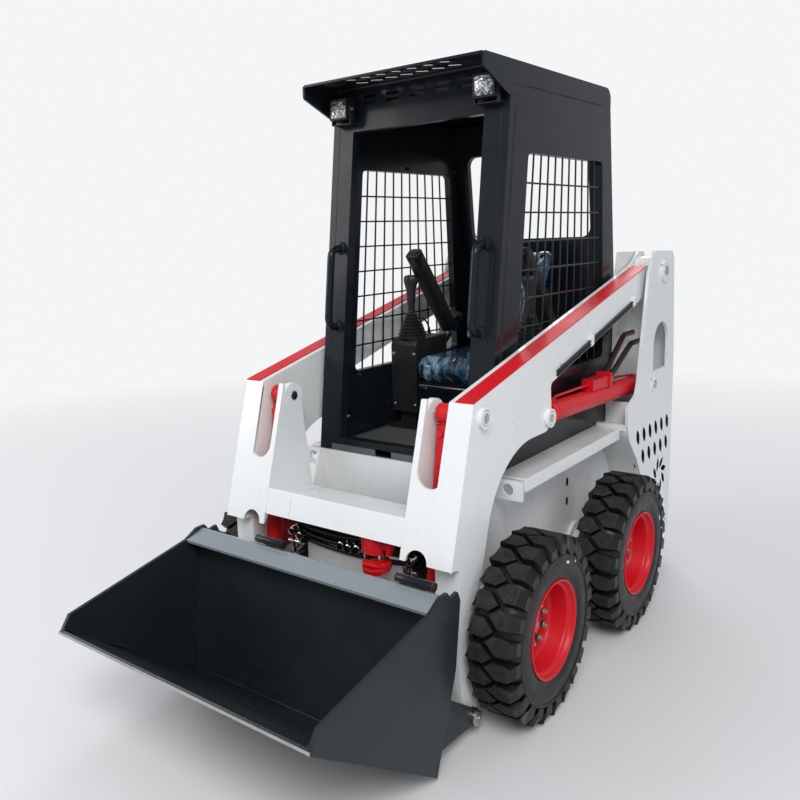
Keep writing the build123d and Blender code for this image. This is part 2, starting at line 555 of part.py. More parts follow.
BACK_A = (on_line(HEEL, BACK_TOP, 60), 60)
BACK_B = (on_line(HEEL, BACK_TOP, 430), 430)
lug_x = {"in": (QA_IN_X, QA_IN_X + LUG_PLATE_T), "mid": (QA_MID_X, QA_MID_X + LUG_PLATE_T), "out": (QA_OUT_X, QA_OUT_X + LUG_PLATE_T)}
mid_lug = side_plate([BACK_A, (HINGE[0] - 60, HINGE[1] - 20), (HINGE[0], HINGE[1] - QA_EAR_R + 2),
                      (HINGE[0] + QA_EAR_R - 2, HINGE[1]), (HINGE[0] + QA_EAR_R - 4, HINGE[1] + 20),
                      (ROD_PIN[0] + QA_EAR_R, ROD_PIN[1] + 20), (ROD_PIN[0], ROD_PIN[1] + ROD_PIN_R), BACK_B], *lug_x["mid"])
mid_lug += rod_x(QA_EAR_R, HINGE, *lug_x["mid"]) + rod_x(ROD_PIN_R, ROD_PIN, *lug_x["mid"])
in_lug = side_plate([(BACK_A[0] + 14, 130), (ROD_PIN[0] + 10, ROD_PIN[1] - 34), (ROD_PIN[0] + 28, ROD_PIN[1]),
                     (ROD_PIN[0], ROD_PIN[1] + ROD_PIN_R), (BACK_B[0], 330)], *lug_x["in"])
in_lug += rod_x(ROD_PIN_R, ROD_PIN, *lug_x["in"])
out_ear = side_plate([(BACK_A[0], 60), (HINGE[0] - 60, HINGE[1] - 18), (HINGE[0], HINGE[1] - QA_EAR_R),
                      (HINGE[0], HINGE[1] + QA_EAR_R), (HINGE[0] - 60, HINGE[1] + 70), (on_line(HEEL, BACK_TOP, 250), 250)],
                     *lug_x["out"])
out_ear += rod_x(QA_EAR_R, HINGE, *lug_x["out"])
lugs = (mid_lug + in_lug + out_ear) - rod_x(HINGE_R + FIT, HINGE, EAR_IN, BUCKET_X)
frame = side_plate([BACK_A, BACK_B, (BACK_B[0] + LUG_PLATE_T, BACK_B[1]), (BACK_A[0] + LUG_PLATE_T, BACK_A[1])],
                   -QA_OUT_X - LUG_PLATE_T, QA_OUT_X + LUG_PLATE_T)
lock_at = (BACK_TOP[0] + 4, BACK_TOP[1] + LOCK_R + 3)
for x0, x1 in HANDLES:
    frame += rod_x(LOCK_R, lock_at, x0, x1)
    frame += side_plate([(BACK_B[0] + 1, BACK_B[1] - 20), (lock_at[0] - 2, lock_at[1]), (lock_at[0] + 8, lock_at[1]),
                         (BACK_B[0] + LUG_PLATE_T, BACK_B[1] - 20)], (x0 + x1) / 2 - 14, (x0 + x1) / 2 + 14)
save("quick_attach", frame + both(lugs))
head_x = QA_OUT_X + LUG_PLATE_T
hinge_pin = rod_x(HINGE_R, HINGE, QA_MID_X - 1, head_x + 2) + rod_x(HINGE_R + 6, HINGE, head_x, head_x + 10)
save("bucket_pins", both(hinge_pin))


# Cylinders
def barrel(base, eye, x, tube, tube_r, bore_r, rod_r, eye_r, eye_w, pin_r):
    """A cylinder tube with its base eye, gland and two ports; open bore inside."""
    line = along(base, eye, x)
    body = bar(line, tube_r, *tube) + rod_x(eye_r, base, x - eye_w / 2, x + eye_w / 2)
    body += bar(line, tube_r * 0.6, 0, tube[0] + 2)
    body += bar(line, tube_r + 3, tube[1] - GLAND, tube[1])
    for at in (tube[0] + 24, tube[1] - GLAND - 16):
        body += line * Pos(0, tube_r + 3, at) * Rot(90, 0, 0) * Cylinder(2 * PIPE_R, 14)
    body -= bar(line, bore_r, tube[0] + 14, tube[1] - GLAND) + bar(line, rod_r + FIT, tube[1] - GLAND - 1, tube[1] + 1)
    return body - rod_x(pin_r + FIT, base, x - eye_w, x + eye_w)


def piston_rod(base, eye, x, tube, bore_r, rod_r, eye_r, eye_w):
    line, length = along(base, eye, x), dist(base, eye)
    rod = bar(line, bore_r - FIT, tube[0] + 16, tube[0] + 16 + PISTON) + bar(line, rod_r, tube[0] + 16, length)
    return rod + rod_x(eye_r, eye, x - eye_w / 2, x + eye_w / 2)


def lift_fittings():
    """Lock valve on the lift cylinder, its two pipes, and the hoses that rise into the tower."""
    line = along(LIFT_BASE, LIFT_EYE, LIFT_X)
    near, far, top = VALVE
    foot = LIFT_TUBE_R - 3
    valve = line * Pos(0, (foot + top) / 2, (near + far) / 2) * Box(46, top - foot, far - near)
    valve += line * Pos(0, (foot + top + 14) / 2, near + 7) * Box(60, top + 14 - foot, 14)
    front = [(0, top - 20, far - 4), (0, top - 20, far + 90), (0, LIFT_TUBE_R + 14, LIFT_TUBE[1] - GLAND - 40),
             (0, LIFT_TUBE_R + 6, LIFT_TUBE[1] - GLAND - 16)]
    rear = [(0, top - 22, near + 4), (0, top - 22, near - 150), (0, LIFT_TUBE_R + 6, LIFT_TUBE[0] + 24)]
    place = line.location
    body = valve + place * pipe(front, PIPE_R, 12) + place * pipe(rear, PIPE_R, 16)
    for x, rise in ((-15, 96), (15, 62)):
        hose = [(x, top - 12, near + 4), (x, top + 14, near - 60), (x, top + rise + 44, near - 230), (x, top + rise + 48, near - 330)]
        body += place * pipe(hose, HOSE_R, [60, 60])
    return body


lift_b = barrel(LIFT_BASE, LIFT_EYE, LIFT_X, LIFT_TUBE, LIFT_TUBE_R, LIFT_BORE_R, LIFT_ROD_R, LIFT_EYE_R, LIFT_EYE_W, LIFT_PIN_R)
lift_b += lift_fittings()
lift_r = piston_rod(LIFT_BASE, LIFT_EYE, LIFT_X, LIFT_TUBE, LIFT_BORE_R, LIFT_ROD_R, LIFT_EYE_R - 4, LIFT_EYE_W)
tilt_b = barrel(TILT_TOP, ROD_PIN, TILT_X, TILT_TUBE, TILT_TUBE_R, TILT_BORE_R, TILT_ROD_R, TILT_EYE_R, TILT_EYE_W, TILT_PIN_R)
tilt_r = piston_rod(TILT_TOP, ROD_PIN, TILT_X, TILT_TUBE, TILT_BORE_R, TILT_ROD_R, TILT_EYE_R - 4, TILT_EYE_W - 4)
for name, shape in (("lift_barrel", lift_b), ("lift_rod", lift_r), ("tilt_barrel", tilt_b), ("tilt_rod", tilt_r)):
    save(f"{name}_left", shape)
    save(f"{name}_right", mirror(shape, about=Plane.YZ))


# Cab
def front_y(z):
    return FRONT_FOOT + FRONT_LEAN * (z - DECK_Z)


def back_y(z):
    return BACK_FOOT - BACK_LEAN * max(0.0, (z - DECK_Z - BACK_BEND) / (CAB_H - BACK_BEND))


def front_strip(z0, z1, d0, d1):
    return [(front_y(z0) + d0, z0), (front_y(z1) + d0, z1), (front_y(z1) + d1, z1), (front_y(z0) + d1, z0)]


BEND_Z = DECK_Z + BACK_BEND
window_low, window_top = DECK_Z + WINDOW_SILL, SEAM_Z - WINDOW_HEAD
window = [(front_y(window_low) + WINDOW_FRONT[0], window_low), (front_y(window_top) + WINDOW_FRONT[1], window_top),
          (back_y(window_top) - WINDOW_BACK[1], window_top), (back_y(window_low) - WINDOW_BACK[0], window_low)]
cab_side = side_plate([(front_y(DECK_Z), DECK_Z), (front_y(SEAM_Z), SEAM_Z), (back_y(SEAM_Z), SEAM_Z), (BACK_FOOT, BEND_Z),
                       (BACK_FOOT, DECK_Z)], CAB_X - CAB_WALL, CAB_X)
cab_side -= side_plate(window, CAB_X - 2 * CAB_WALL, CAB_X + 5, WINDOW_CORNER)
save("cab_side_left", cab_side)
save("cab_side_right", mirror(cab_side, about=Plane.YZ))

mesh = (CAB_X - 10 - MESH_T / 2, CAB_X - 10 + MESH_T / 2)
half = MESH_BAR / 2
guard = []
for i in range(1, MESH_COLS + 1):
    y_low, y_top = (a[0] + (b[0] - a[0]) * i / (MESH_COLS + 1) for a, b in ((window[0], window[3]), (window[1], window[2])))
    guard.append(side_plate([(y_low - half, window_low + 1), (y_low + half, window_low + 1), (y_top + half, window_top - 1),
                             (y_top - half, window_top - 1)], *mesh))
for j in range(1, MESH_ROWS):
    z = window_low + (window_top - window_low) * j / MESH_ROWS
    guard.append(block(*mesh, on_line(window[0], window[1], z) + 1, on_line(window[3], window[2], z) - 1, z - half, z + half))
save("side_guards", both(Part() + guard))

visor_y = front_y(ROOF_Z) - VISOR_REACH
visor_low, roof_end = SEAM_Z - VISOR_DROP, back_y(SEAM_Z)
cheek_outline = [(front_y(visor_low) - 10, visor_low), (visor_y, ROOF_Z - VISOR_LIP), (visor_y, ROOF_Z), (roof_end, ROOF_Z),
                 (roof_end, SEAM_Z), (front_y(SEAM_Z), SEAM_Z), (front_y(visor_low), visor_low)]
roof_side = side_plate(cheek_outline, CAB_X - SHEET, CAB_X, [1, 12, 12, ROOF_CORNER_R, 1, 1, 1])
roof_line = [(visor_y, ROOF_Z), (roof_end, ROOF_Z), (roof_end, SEAM_Z)]
roof_outer = side_plate(roof_line + [(visor_y, SEAM_Z)], -CAB_X + SHEET, CAB_X - SHEET, [1, ROOF_CORNER_R, 1, 1])
roof_inner = side_plate([(visor_y - 9, ROOF_Z - SHEET), (roof_end - SHEET, ROOF_Z - SHEET), (roof_end - SHEET, SEAM_Z - 9),
                         (visor_y - 9, SEAM_Z - 9)], -CAB_X, CAB_X, [1, ROOF_CORNER_R - SHEET, 1, 1])
roof = roof_outer - roof_inner + both(roof_side)
count, pitch, length, width, rows = ROOF_SLOTS
for behind in rows:
    for x in spread(-pitch * (count - 1) / 2, pitch * (count - 1) / 2, count):
        roof -= Pos(x, visor_y + behind, ROOF_Z) * Rot(0, 0, 35) * Box(length, width, 3 * SHEET)
ring_r, ring_t = EYE_RING
roof += Pos(0, EYE_Y, ROOF_Z + EYE_UP) * Rot(0, 90, 0) * (Cylinder(ring_r, ring_t) - Cylinder(EYE_R, 2 * ring_t))
roof += block(-ring_t / 2, ring_t / 2, EYE_Y - 16, EYE_Y + 16, ROOF_Z - SHEET / 2, ROOF_Z + EYE_UP - EYE_R - 4)
save("cab_roof", roof)

inside = CAB_X - CAB_WALL
back = side_plate([(BACK_FOOT, DECK_Z), (BACK_FOOT, BEND_Z), (back_y(SEAM_Z), SEAM_Z), (back_y(SEAM_Z) - CAB_WALL, SEAM_Z),
                   (BACK_FOOT - CAB_WALL, BEND_Z), (BACK_FOOT - CAB_WALL, DECK_Z)], -inside, inside)
rear_low, rear_top = SEAM_Z + REAR_WINDOW_Z[0], SEAM_Z + REAR_WINDOW_Z[1]
rear_hole = Plane.XZ * Pos(0, (rear_low + rear_top) / 2) * RectangleRounded(2 * REAR_WINDOW_X, rear_top - rear_low, REAR_WINDOW_R)
back -= Pos(0, BACK_FOOT, 0) * extrude(rear_hole, 3 * CAB_WALL + BACK_LEAN, both=True)
save("cab_back", back)

post = side_plate(front_strip(DECK_Z, SEAM_Z, 0, POST_D), inside - POST_W, inside)
front = both(post) + side_plate(front_strip(DECK_Z, DECK_Z + SILL_H, 0, POST_D), -inside, inside)
front -= block(*SILL_SLOT[:2], FRONT_FOOT - 20, FRONT_FOOT + 2 * POST_D, DECK_Z + SILL_SLOT[2], DECK_Z + SILL_SLOT[3])
front += side_plate(front_strip(SEAM_Z + HEAD_Z[0], SEAM_Z + HEAD_Z[1], 0, POST_D), -inside, inside)
header = side_plate(front_strip(SEAM_Z + HEAD_Z[1], ROOF_Z - SHEET, 0, SHEET), -inside, inside)
count, pitch, width, height, rows = HEADER_SLOTS
for up in rows:
    z = SEAM_Z + up
    for x in spread(-pitch * (count - 1) / 2, pitch * (count - 1) / 2, count):
        header -= block(x - width / 2, x + width / 2, front_y(z) - 20, front_y(z) + 30, z - height / 2, z + height / 2)
save("cab_front_frame", front + header)
save("cab_floor", block(-inside, inside, front_y(FLOOR_TOP) + POST_D + SEAT_GAP, BACK_FOOT - CAB_WALL, FLOOR_Z, FLOOR_TOP))

low, high = (DECK_Z + z for z in HANDLE_Z)
grip = FilletPolyline((HANDLE_X, front_y(low) - 2, low), (HANDLE_X, front_y(low) - HANDLE_OUT, low),
                      (HANDLE_X, front_y(high) - HANDLE_OUT, high), (HANDLE_X, front_y(high) - 2, high), radius=HANDLE_BEND)
save("grab_handles", both(sweep(Plane(origin=grip @ 0, z_dir=grip % 0) * Circle(HANDLE_R), path=grip)))

# Work lamps: a square housing with a sunk lens face, held by a U bracket from the door head
lamp_z, half_w = SEAM_Z - LAMP_DROP, LAMP_W / 2
lamp_back = front_y(lamp_z) - LAMP_GAP
lamp = block(LAMP_X - half_w, LAMP_X + half_w, lamp_back - LAMP_D, lamp_back, lamp_z - LAMP_H / 2, lamp_z + LAMP_H / 2)
lamp -= block(LAMP_X - half_w + LAMP_RIM, LAMP_X + half_w - LAMP_RIM, lamp_back - LAMP_D - 1, lamp_back - LAMP_D + 4,
              lamp_z - LAMP_H / 2 + LAMP_RIM, lamp_z + LAMP_H / 2 - LAMP_RIM)
strap_y, strap_z = lamp_back - LAMP_D / 2, lamp_z - LAMP_H / 2 - 12
for x in (LAMP_X - half_w - BRACKET_T, LAMP_X + half_w):
    lamp += block(x, x + BRACKET_T, strap_y - 10, strap_y + 10, strap_z, lamp_z + 8)
lamp += block(LAMP_X - half_w - BRACKET_T, LAMP_X + half_w + BRACKET_T, strap_y - 10, front_y(strap_z - BRACKET_T) - SEAT_GAP, strap_z - BRACKET_T,
              strap_z)
save("work_lamps", both(lamp))

# Seat and controls
seat_low, seat_top = (FLOOR_TOP + z for z in SEAT_Z)
base = block(-SEAT_X, SEAT_X, SEAT_Y[0] + 50, SEAT_Y[1] + 30, FLOOR_TOP, seat_low)
(tip_y, tip_z), (root_y, root_z) = ((y, FLOOR_TOP + z) for y, z in ARMREST)
rest = Plane(origin=(0, tip_y, tip_z), x_dir=(1, 0, 0), z_dir=(0, root_y - tip_y, root_z - tip_z))
rest_length, rest_w = dist((tip_y, tip_z), (root_y, root_z)), ARMREST_X[1] - ARMREST_X[0]
arm_rest = rest * Pos((ARMREST_X[0] + ARMREST_X[1]) / 2, 0, 0) * extrude(RectangleRounded(rest_w, ARMREST_T, 18), rest_length)
hinge_y = SEAT_Y[1] - 70
arm_rest += rod_x(16, (hinge_y, root_z + 40), SEAT_X + SEAT_GAP, ARMREST_X[1])
arm_rest += side_plate([(root_y - 30, root_z + 20), (root_y + 10, root_z - 20), (hinge_y + 20, root_z + 24), (hinge_y, root_z + 62)],
                       ARMREST_X[0], ARMREST_X[0] + 14)
save("seat_base", base + both(arm_rest))
save("seat_cushion", block(-SEAT_X - 5, SEAT_X + 5, *SEAT_Y, seat_low + SEAT_GAP, seat_top))
rake = BACK_RAKE / BACK_H
back_foot = SEAT_Y[1] - BACK_T
save("seat_backrest", side_plate([(back_foot, seat_top + SEAT_GAP), (back_foot + BACK_RAKE, seat_top + BACK_H),
                                  (back_foot + BACK_RAKE + 0.8 * BACK_T, seat_top + BACK_H - 12),
                                  (back_foot + BACK_T, seat_top + SEAT_GAP)], -SEAT_X, SEAT_X))
console = block(*CONSOLE_X, *CONSOLE_Y, FLOOR_TOP + CONSOLE_Z[0], CONSOLE_TOP)
console = fillet(console.edges().filter_by(Axis.X).group_by(Axis.Z)[-1].sort_by(Axis.Y)[0], 30)
console += block(CONSOLE_X[0] + PLINTH_INSET, CONSOLE_X[1] - PLINTH_INSET, CONSOLE_Y[0] + PLINTH_INSET, CONSOLE_Y[1], FLOOR_TOP,
                 FLOOR_TOP + CONSOLE_Z[0])
save("control_consoles", both(console))
neck, knob = LEVER_H
lever_line = [(0, 0), (BELLOWS_R, 0), (BELLOWS_R, 12), (BELLOWS_R * 0.72, 0.3 * neck), (BELLOWS_R * 0.76, 0.38 * neck),
              (BELLOWS_R * 0.5, 0.7 * neck), (BELLOWS_R * 0.52, 0.78 * neck), (10, neck), (10, knob - 62), (KNOB_R, knob - 40),
              (KNOB_R - 4, knob - 6), (0, knob)]
lever = Pos(*LEVER_AT, CONSOLE_TOP + SEAT_GAP) * revolve(Plane.XZ * make_face(Polyline(*lever_line, close=True)), Axis.Z)
save("control_levers", both(lever))

# Engine, hood and rear door
save("engine_block", block(*ENGINE))
hood = block(-CAB_X, CAB_X, *HOOD_Y, DECK_Z, HOOD_Z)
hood -= block(-CAB_X + SHEET, CAB_X - SHEET, HOOD_Y[0] + SHEET, HOOD_Y[1] + 50, DECK_Z - 10, HOOD_Z - SHEET)
count, pitch, width, height = HOOD_SLOTS
mid_y = (HOOD_Y[0] + HOOD_Y[1]) / 2
for y in spread(mid_y - pitch * (count - 1) / 2, mid_y + pitch * (count - 1) / 2, count):
    hood -= block(-width / 2, width / 2, y - height / 2, y + height / 2, HOOD_Z - 2 * SHEET, HOOD_Z + 1)
save("engine_hood", hood)
door = block(-DOOR_X, DOOR_X, *DOOR_Y, *DOOR_Z)
count, pitch, width, height, depth, lowest = LOUVRES
for i in range(count):
    z = lowest + i * pitch
    door -= block(-width / 2, width / 2, DOOR_Y[1] - depth, DOOR_Y[1] + 1, z, z + height)
save("rear_door", door + door_eyes)

os.makedirs("parts", exist_ok=True)
for name, shape in parts.items():
    export_step(shape, f"parts/{name}.step")
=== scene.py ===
"""Looks of a compact skid steer loader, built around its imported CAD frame.

The frame is in metres, +Z up, with the ground at Z 0. The bucket faces -Y and +X is the machine's
left side. Places and sizes below are in millimetres, along the machine from the front axle.
First come the ways of shaping a piece and the finishes, then the steelwork carried over from the
frame, wheels, cab, seat, controls, hydraulics, the front beam's fittings, the sides, bucket and rear
door, and last the floor, lamps and camera.
"""
import json
import math

import bpy
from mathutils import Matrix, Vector

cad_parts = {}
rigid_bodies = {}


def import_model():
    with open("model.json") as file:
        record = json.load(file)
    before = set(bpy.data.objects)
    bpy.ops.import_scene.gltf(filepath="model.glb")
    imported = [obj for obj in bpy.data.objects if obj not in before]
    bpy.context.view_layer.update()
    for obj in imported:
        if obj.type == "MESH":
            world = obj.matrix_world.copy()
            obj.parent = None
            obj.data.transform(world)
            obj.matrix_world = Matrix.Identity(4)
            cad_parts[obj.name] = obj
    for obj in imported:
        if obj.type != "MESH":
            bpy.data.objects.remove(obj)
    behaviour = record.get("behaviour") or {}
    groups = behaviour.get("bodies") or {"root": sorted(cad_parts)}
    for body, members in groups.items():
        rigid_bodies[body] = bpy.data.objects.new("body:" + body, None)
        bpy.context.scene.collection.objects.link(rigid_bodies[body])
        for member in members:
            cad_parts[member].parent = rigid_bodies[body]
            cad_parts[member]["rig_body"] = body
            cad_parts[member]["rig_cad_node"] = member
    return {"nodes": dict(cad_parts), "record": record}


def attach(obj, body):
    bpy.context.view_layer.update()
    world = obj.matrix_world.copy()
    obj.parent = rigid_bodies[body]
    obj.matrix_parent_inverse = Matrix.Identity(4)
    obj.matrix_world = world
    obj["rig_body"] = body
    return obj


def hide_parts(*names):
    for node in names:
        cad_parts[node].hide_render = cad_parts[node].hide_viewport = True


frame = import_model()
NODES = frame["nodes"]
BODY_OF = {node: body for body, names in frame["record"]["behaviour"]["bodies"].items() for node in names}
SLOT_OF = {sub["node"]: sub["material_slot"] for sub in frame["record"]["subparts"]}
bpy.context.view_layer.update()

# Sizes that the frame's solids have too, millimetres
FRONT_AXLE_Y = -260.0
WHEELBASE = 745.0
TYRE_R, TYRE_MID = 295.0, 551.5
LUG_COUNT = 24
PIVOT = (1321.0, 1326.0)
LIFT_BASE, LIFT_EYE, LIFT_X = (1235.0, 856.0), (285.0, 893.0), 421.0
TILT_TOP, TILT_X = (-153.0, 978.0), 341.0
ARM_OUT = 462.0
ARM_LOW = ((1169.0, 1227.0), (303.0, 1006.0))
CLAMPS = (627.0, 1040.0)
COVER = ((-337.0, 563.0), (-202.0, 1026.0))
CAB_X, CAB_WALL = 358.0, 30.0
HANDLE_X, HANDLE_Z = 298.0, (469.0, 751.0)
LAMP_X, LAMP_DROP, LAMP_GAP, LAMP_D = 293.0, 5.0, 14.0, 46.0
ROD_PIN = (-272.35, 190.74)
HINGE = (-240.0, 70.0)
DECK_Z, SEAM_Z, ROOF_Z = 720.0, 1962.0, 2034.0
FLOOR_TOP = 748.0


def at(x, y, z):
    """A place in metres, from millimetres along the machine."""
    return Vector((x, y + FRONT_AXLE_Y, z)) / 1000.0


def front_y(z):
    """Where the leaning door frame's face stands at a height."""
    return 58.0 + 0.134 * (z - DECK_Z)


# Ways of shaping a piece
def only(piece):
    """Makes one piece the selected and active one."""
    for other in bpy.context.selected_objects:
        other.select_set(False)
    piece.select_set(True)
    bpy.context.view_layer.objects.active = piece
    return piece


def edited(piece):
    only(piece)
    bpy.ops.object.mode_set(mode="EDIT")
    bpy.ops.mesh.select_all(action="SELECT")


def rested():
    """Ends an edit with doubles merged and every face turned outwards."""
    bpy.ops.mesh.select_all(action="SELECT")
    bpy.ops.mesh.remove_doubles(threshold=1e-6)
    bpy.ops.mesh.normals_make_consistent(inside=False)
    bpy.ops.object.mode_set(mode="OBJECT")
    return bpy.context.object


def picked(piece, kind, test):
    """Selects the points or faces whose place (in millimetres, piece's own) passes a test."""
    edited(piece)
    bpy.ops.mesh.select_mode(type=kind)
    bpy.ops.mesh.select_all(action="DESELECT")
    bpy.ops.object.mode_set(mode="OBJECT")
    mesh = piece.data
    if kind == "VERT":
        for point in mesh.vertices:
            point.select = bool(test(point.co * 1000.0))
    else:
        for face in mesh.polygons:
            face.select = bool(test(face.center * 1000.0, face.normal))
    bpy.ops.object.mode_set(mode="EDIT")


def shifted(piece, kind, test, step):
    """Moves the points or faces that pass a test by a step in millimetres."""
    picked(piece, kind, test)
    bpy.ops.transform.translate(value=Vector(step) / 1000.0)
    bpy.ops.object.mode_set(mode="OBJECT")


def outlined(name, points):
    """A chain of points drawn by extruding one point; left in edit mode, all selected."""
    bpy.ops.object.select_all(action="DESELECT")
    bpy.ops.mesh.primitive_plane_add(size=0.01, location=(0, 0, 0))
    bpy.context.object.name = name
    bpy.ops.object.mode_set(mode="EDIT")
    bpy.ops.mesh.select_mode(type="VERT")
    bpy.ops.mesh.select_all(action="SELECT")
    bpy.ops.mesh.merge(type="CENTER")
    last = Vector(points[0]) / 1000.0
    bpy.ops.transform.translate(value=last)
    for point in points[1:]:
        here = Vector(point) / 1000.0
        bpy.ops.mesh.extrude_region_move(TRANSFORM_OT_translate={"value": here - last})
        last = here
    bpy.ops.mesh.select_all(action="SELECT")
    return bpy.context.object


def turned(name, profile, steps=40):
    """A piece turned on X: profile holds places along the axis with their radius."""
    piece = outlined(name, [(a, max(r, 0.0), 0.0) for a, r in profile])
    bpy.ops.mesh.spin(steps=steps, angle=math.tau, center=(0, 0, 0), axis=(1, 0, 0))
    rested()
    bpy.ops.object.shade_smooth_by_angle(angle=math.radians(38))
    return piece


def plate(name, outline, push):
    """A flat outline of points (x, y, z) given its thickness by a push (x, y, z)."""
    piece = outlined(name, outline)
    bpy.ops.mesh.edge_face_add()
    bpy.ops.mesh.extrude_region_move(TRANSFORM_OT_translate={"value": Vector(push) / 1000.0})
    return rested()


def panel(name, outline, push):
    """A plate whose outline is given along the machine, from the front axle."""
    return plate(name, [(x, y + FRONT_AXLE_Y, z) for x, y, z in outline], push)


def rounded(piece, width, segments=2, angle=30.0):
    """Breaks a piece's sharp edges."""
    only(piece)
    bevel = piece.modifiers.new("edges", "BEVEL")
    bevel.width, bevel.segments, bevel.limit_method = width / 1000.0, segments, "ANGLE"
    bevel.angle_limit = math.radians(angle)
    bevel.miter_outer = "MITER_ARC"
    bpy.ops.object.modifier_apply(modifier=bevel.name)
    bpy.ops.object.shade_smooth_by_angle(angle=math.radians(36))
    flats = piece.modifiers.new("flat_faces", "WEIGHTED_NORMAL")
    flats.keep_sharp, flats.weight = True, 80
    bpy.ops.object.modifier_apply(modifier=flats.name)
    return piece


def block(name, low, high, edge=1.5, segments=2):
    """A block between two corners along the machine, its edges broken."""
    bpy.ops.object.select_all(action="DESELECT")
    low, high = at(*low), at(*high)
    bpy.ops.mesh.primitive_cube_add(size=1, location=(low + high) / 2, scale=high - low)
    piece = bpy.context.object
    piece.name = name
    bpy.ops.object.transform_apply(location=True, rotation=True, scale=True)
    return rounded(piece, edge, segments)


def placed(piece, place=(0, 0, 0), turn=(0, 0, 0), scale=(1, 1, 1)):
    """Puts a piece at a place in metres, turned by degrees, with the place in its mesh."""
    only(piece)
    piece.location, piece.scale = place, scale
    piece.rotation_euler = [math.radians(a) for a in turn]
    bpy.ops.object.transform_apply(location=True, rotation=True, scale=True)
    if min(scale) < 0:
        edited(piece)
        bpy.ops.mesh.normals_make_consistent(inside=False)
        bpy.ops.object.mode_set(mode="OBJECT")
    return piece


def pointed(piece, place, towards):
    """Puts a turned piece at a place, its X axis towards a direction."""
    only(piece)
    piece.location = place
    upright = abs(Vector(towards).normalized().z) > 0.9
    piece.rotation_euler = Vector(towards).to_track_quat("X", "Y" if upright else "Z").to_euler()
    bpy.ops.object.transform_apply(location=True, rotation=True, scale=True)
    return piece


def copy_of(piece, name):
    made = piece.copy()
    made.data = piece.data.copy()
    made.name = name
    bpy.context.scene.collection.objects.link(made)
    return made


def joined(name, pieces):
    only(pieces[0])
    for piece in pieces[1:]:
        piece.select_set(True)
    if len(pieces) > 1:
        bpy.ops.object.join()
    pieces[0].name = name
    return pieces[0]


def tube(name, points, radius):
    """A bent pipe, hose or bead along places in metres."""
    curve = bpy.data.curves.new(name, "CURVE")
    curve.dimensions, curve.bevel_depth, curve.bevel_resolution = "3D", radius / 1000.0, 3
    curve.use_fill_caps, curve.resolution_u = True, 8
    line = curve.splines.new("NURBS")
    line.points.add(len(points) - 1)
    for point, place in zip(line.points, points):
        point.co = (*place, 1)
    line.order_u = min(3, len(points))
    line.use_endpoint_u = True
    piece = bpy.data.objects.new(name, curve)
    bpy.context.scene.collection.objects.link(piece)
    only(piece)
    bpy.ops.object.convert(target="MESH")
    bpy.ops.object.shade_smooth()
    return bpy.context.object


# Finishes: base colour of each paint and material
WHITE = (0.80, 0.82, 0.82)
BLACK = (0.006, 0.009, 0.012)
BUCKET_GREY = (0.012, 0.018, 0.021)
RED = (0.62, 0.004, 0.012)
STEEL = (0.55, 0.55, 0.54)
PLASTIC = (0.014, 0.015, 0.017)
ROAD_DUST = (0.24, 0.22, 0.19)


class Finish:
    """A material's node tree, with short ways to add what most finishes need."""

    def __init__(self, name, colour, roughness, metallic=0.0):
        self.material = bpy.data.materials.new(name)
        self.material.use_nodes = True
        self.tree = self.material.node_tree
        self.shader = self.tree.nodes["Principled BSDF"]
        self.set(**{"Base Color": (*colour, 1), "Roughness": roughness, "Metallic": metallic})
        self.place = self.tree.nodes.new("ShaderNodeTexCoord").outputs["Object"]

    def set(self, **sockets):
        for socket, value in sockets.items():
            self.shader.inputs[socket].default_value = value

    def node(self, kind, links=(), **values):
        made = self.tree.nodes.new(kind)
        for key, value in values.items():
            setattr(made, key, value)
        for socket, source in links:
            if hasattr(source, "links"):
                self.tree.links.new(source, made.inputs[socket])
            else:
                made.inputs[socket].default_value = source
        return made

    def noise(self, scale, detail=3.0, rough=0.55, stretch=None, warp=0.0):
        place = self.place
        if stretch:
            place = self.node("ShaderNodeMapping", [("Vector", place), ("Scale", stretch)]).outputs[0]
        made = self.node("ShaderNodeTexNoise", [("Vector", place), ("Scale", scale), ("Detail", detail),
                                                ("Roughness", rough), ("Distortion", warp)])
        return made.outputs["Fac"]

    def cells(self, scale):
        made = self.node("ShaderNodeTexVoronoi", [("Vector", self.place), ("Scale", scale)], feature="F1")
        return made.outputs["Distance"]

    def height(self, low, high, start=0.0, end=1.0):
        """Runs from start to end between two heights above the ground, in metres."""
        split = self.node("ShaderNodeSeparateXYZ", [("Vector", self.place)])
        return self.ramp(split.outputs["Z"], low, high, start, end)

    def ramp(self, source, low, high, start=0.0, end=1.0):
        return self.node("ShaderNodeMapRange", [("Value", source), ("From Min", low), ("From Max", high),
                                                ("To Min", start), ("To Max", end)]).outputs[0]

    def sum(self, a, b, operation="ADD"):
        return self.node("ShaderNodeMath", [(0, a), (1, b)], operation=operation).outputs[0]

    def between(self, factor, colour_a, colour_b):
        a, b = (end if hasattr(end, "links") else (*end, 1) for end in (colour_a, colour_b))
        return self.node("ShaderNodeMix", [(0, factor), (6, a), (7, b)], data_type="RGBA").outputs[2]

    def use(self, socket, source):
        self.tree.links.new(source, self.shader.inputs[socket])

    def bump(self, height, strength, distance):
        made = self.node("ShaderNodeBump", [("Height", height), ("Strength", strength),
                                            ("Distance", distance)])
        self.use("Normal", made.outputs[0])


def tinted(colour, dust, share):
    return tuple(c * (1 - share) + d * share for c, d in zip(colour, dust))


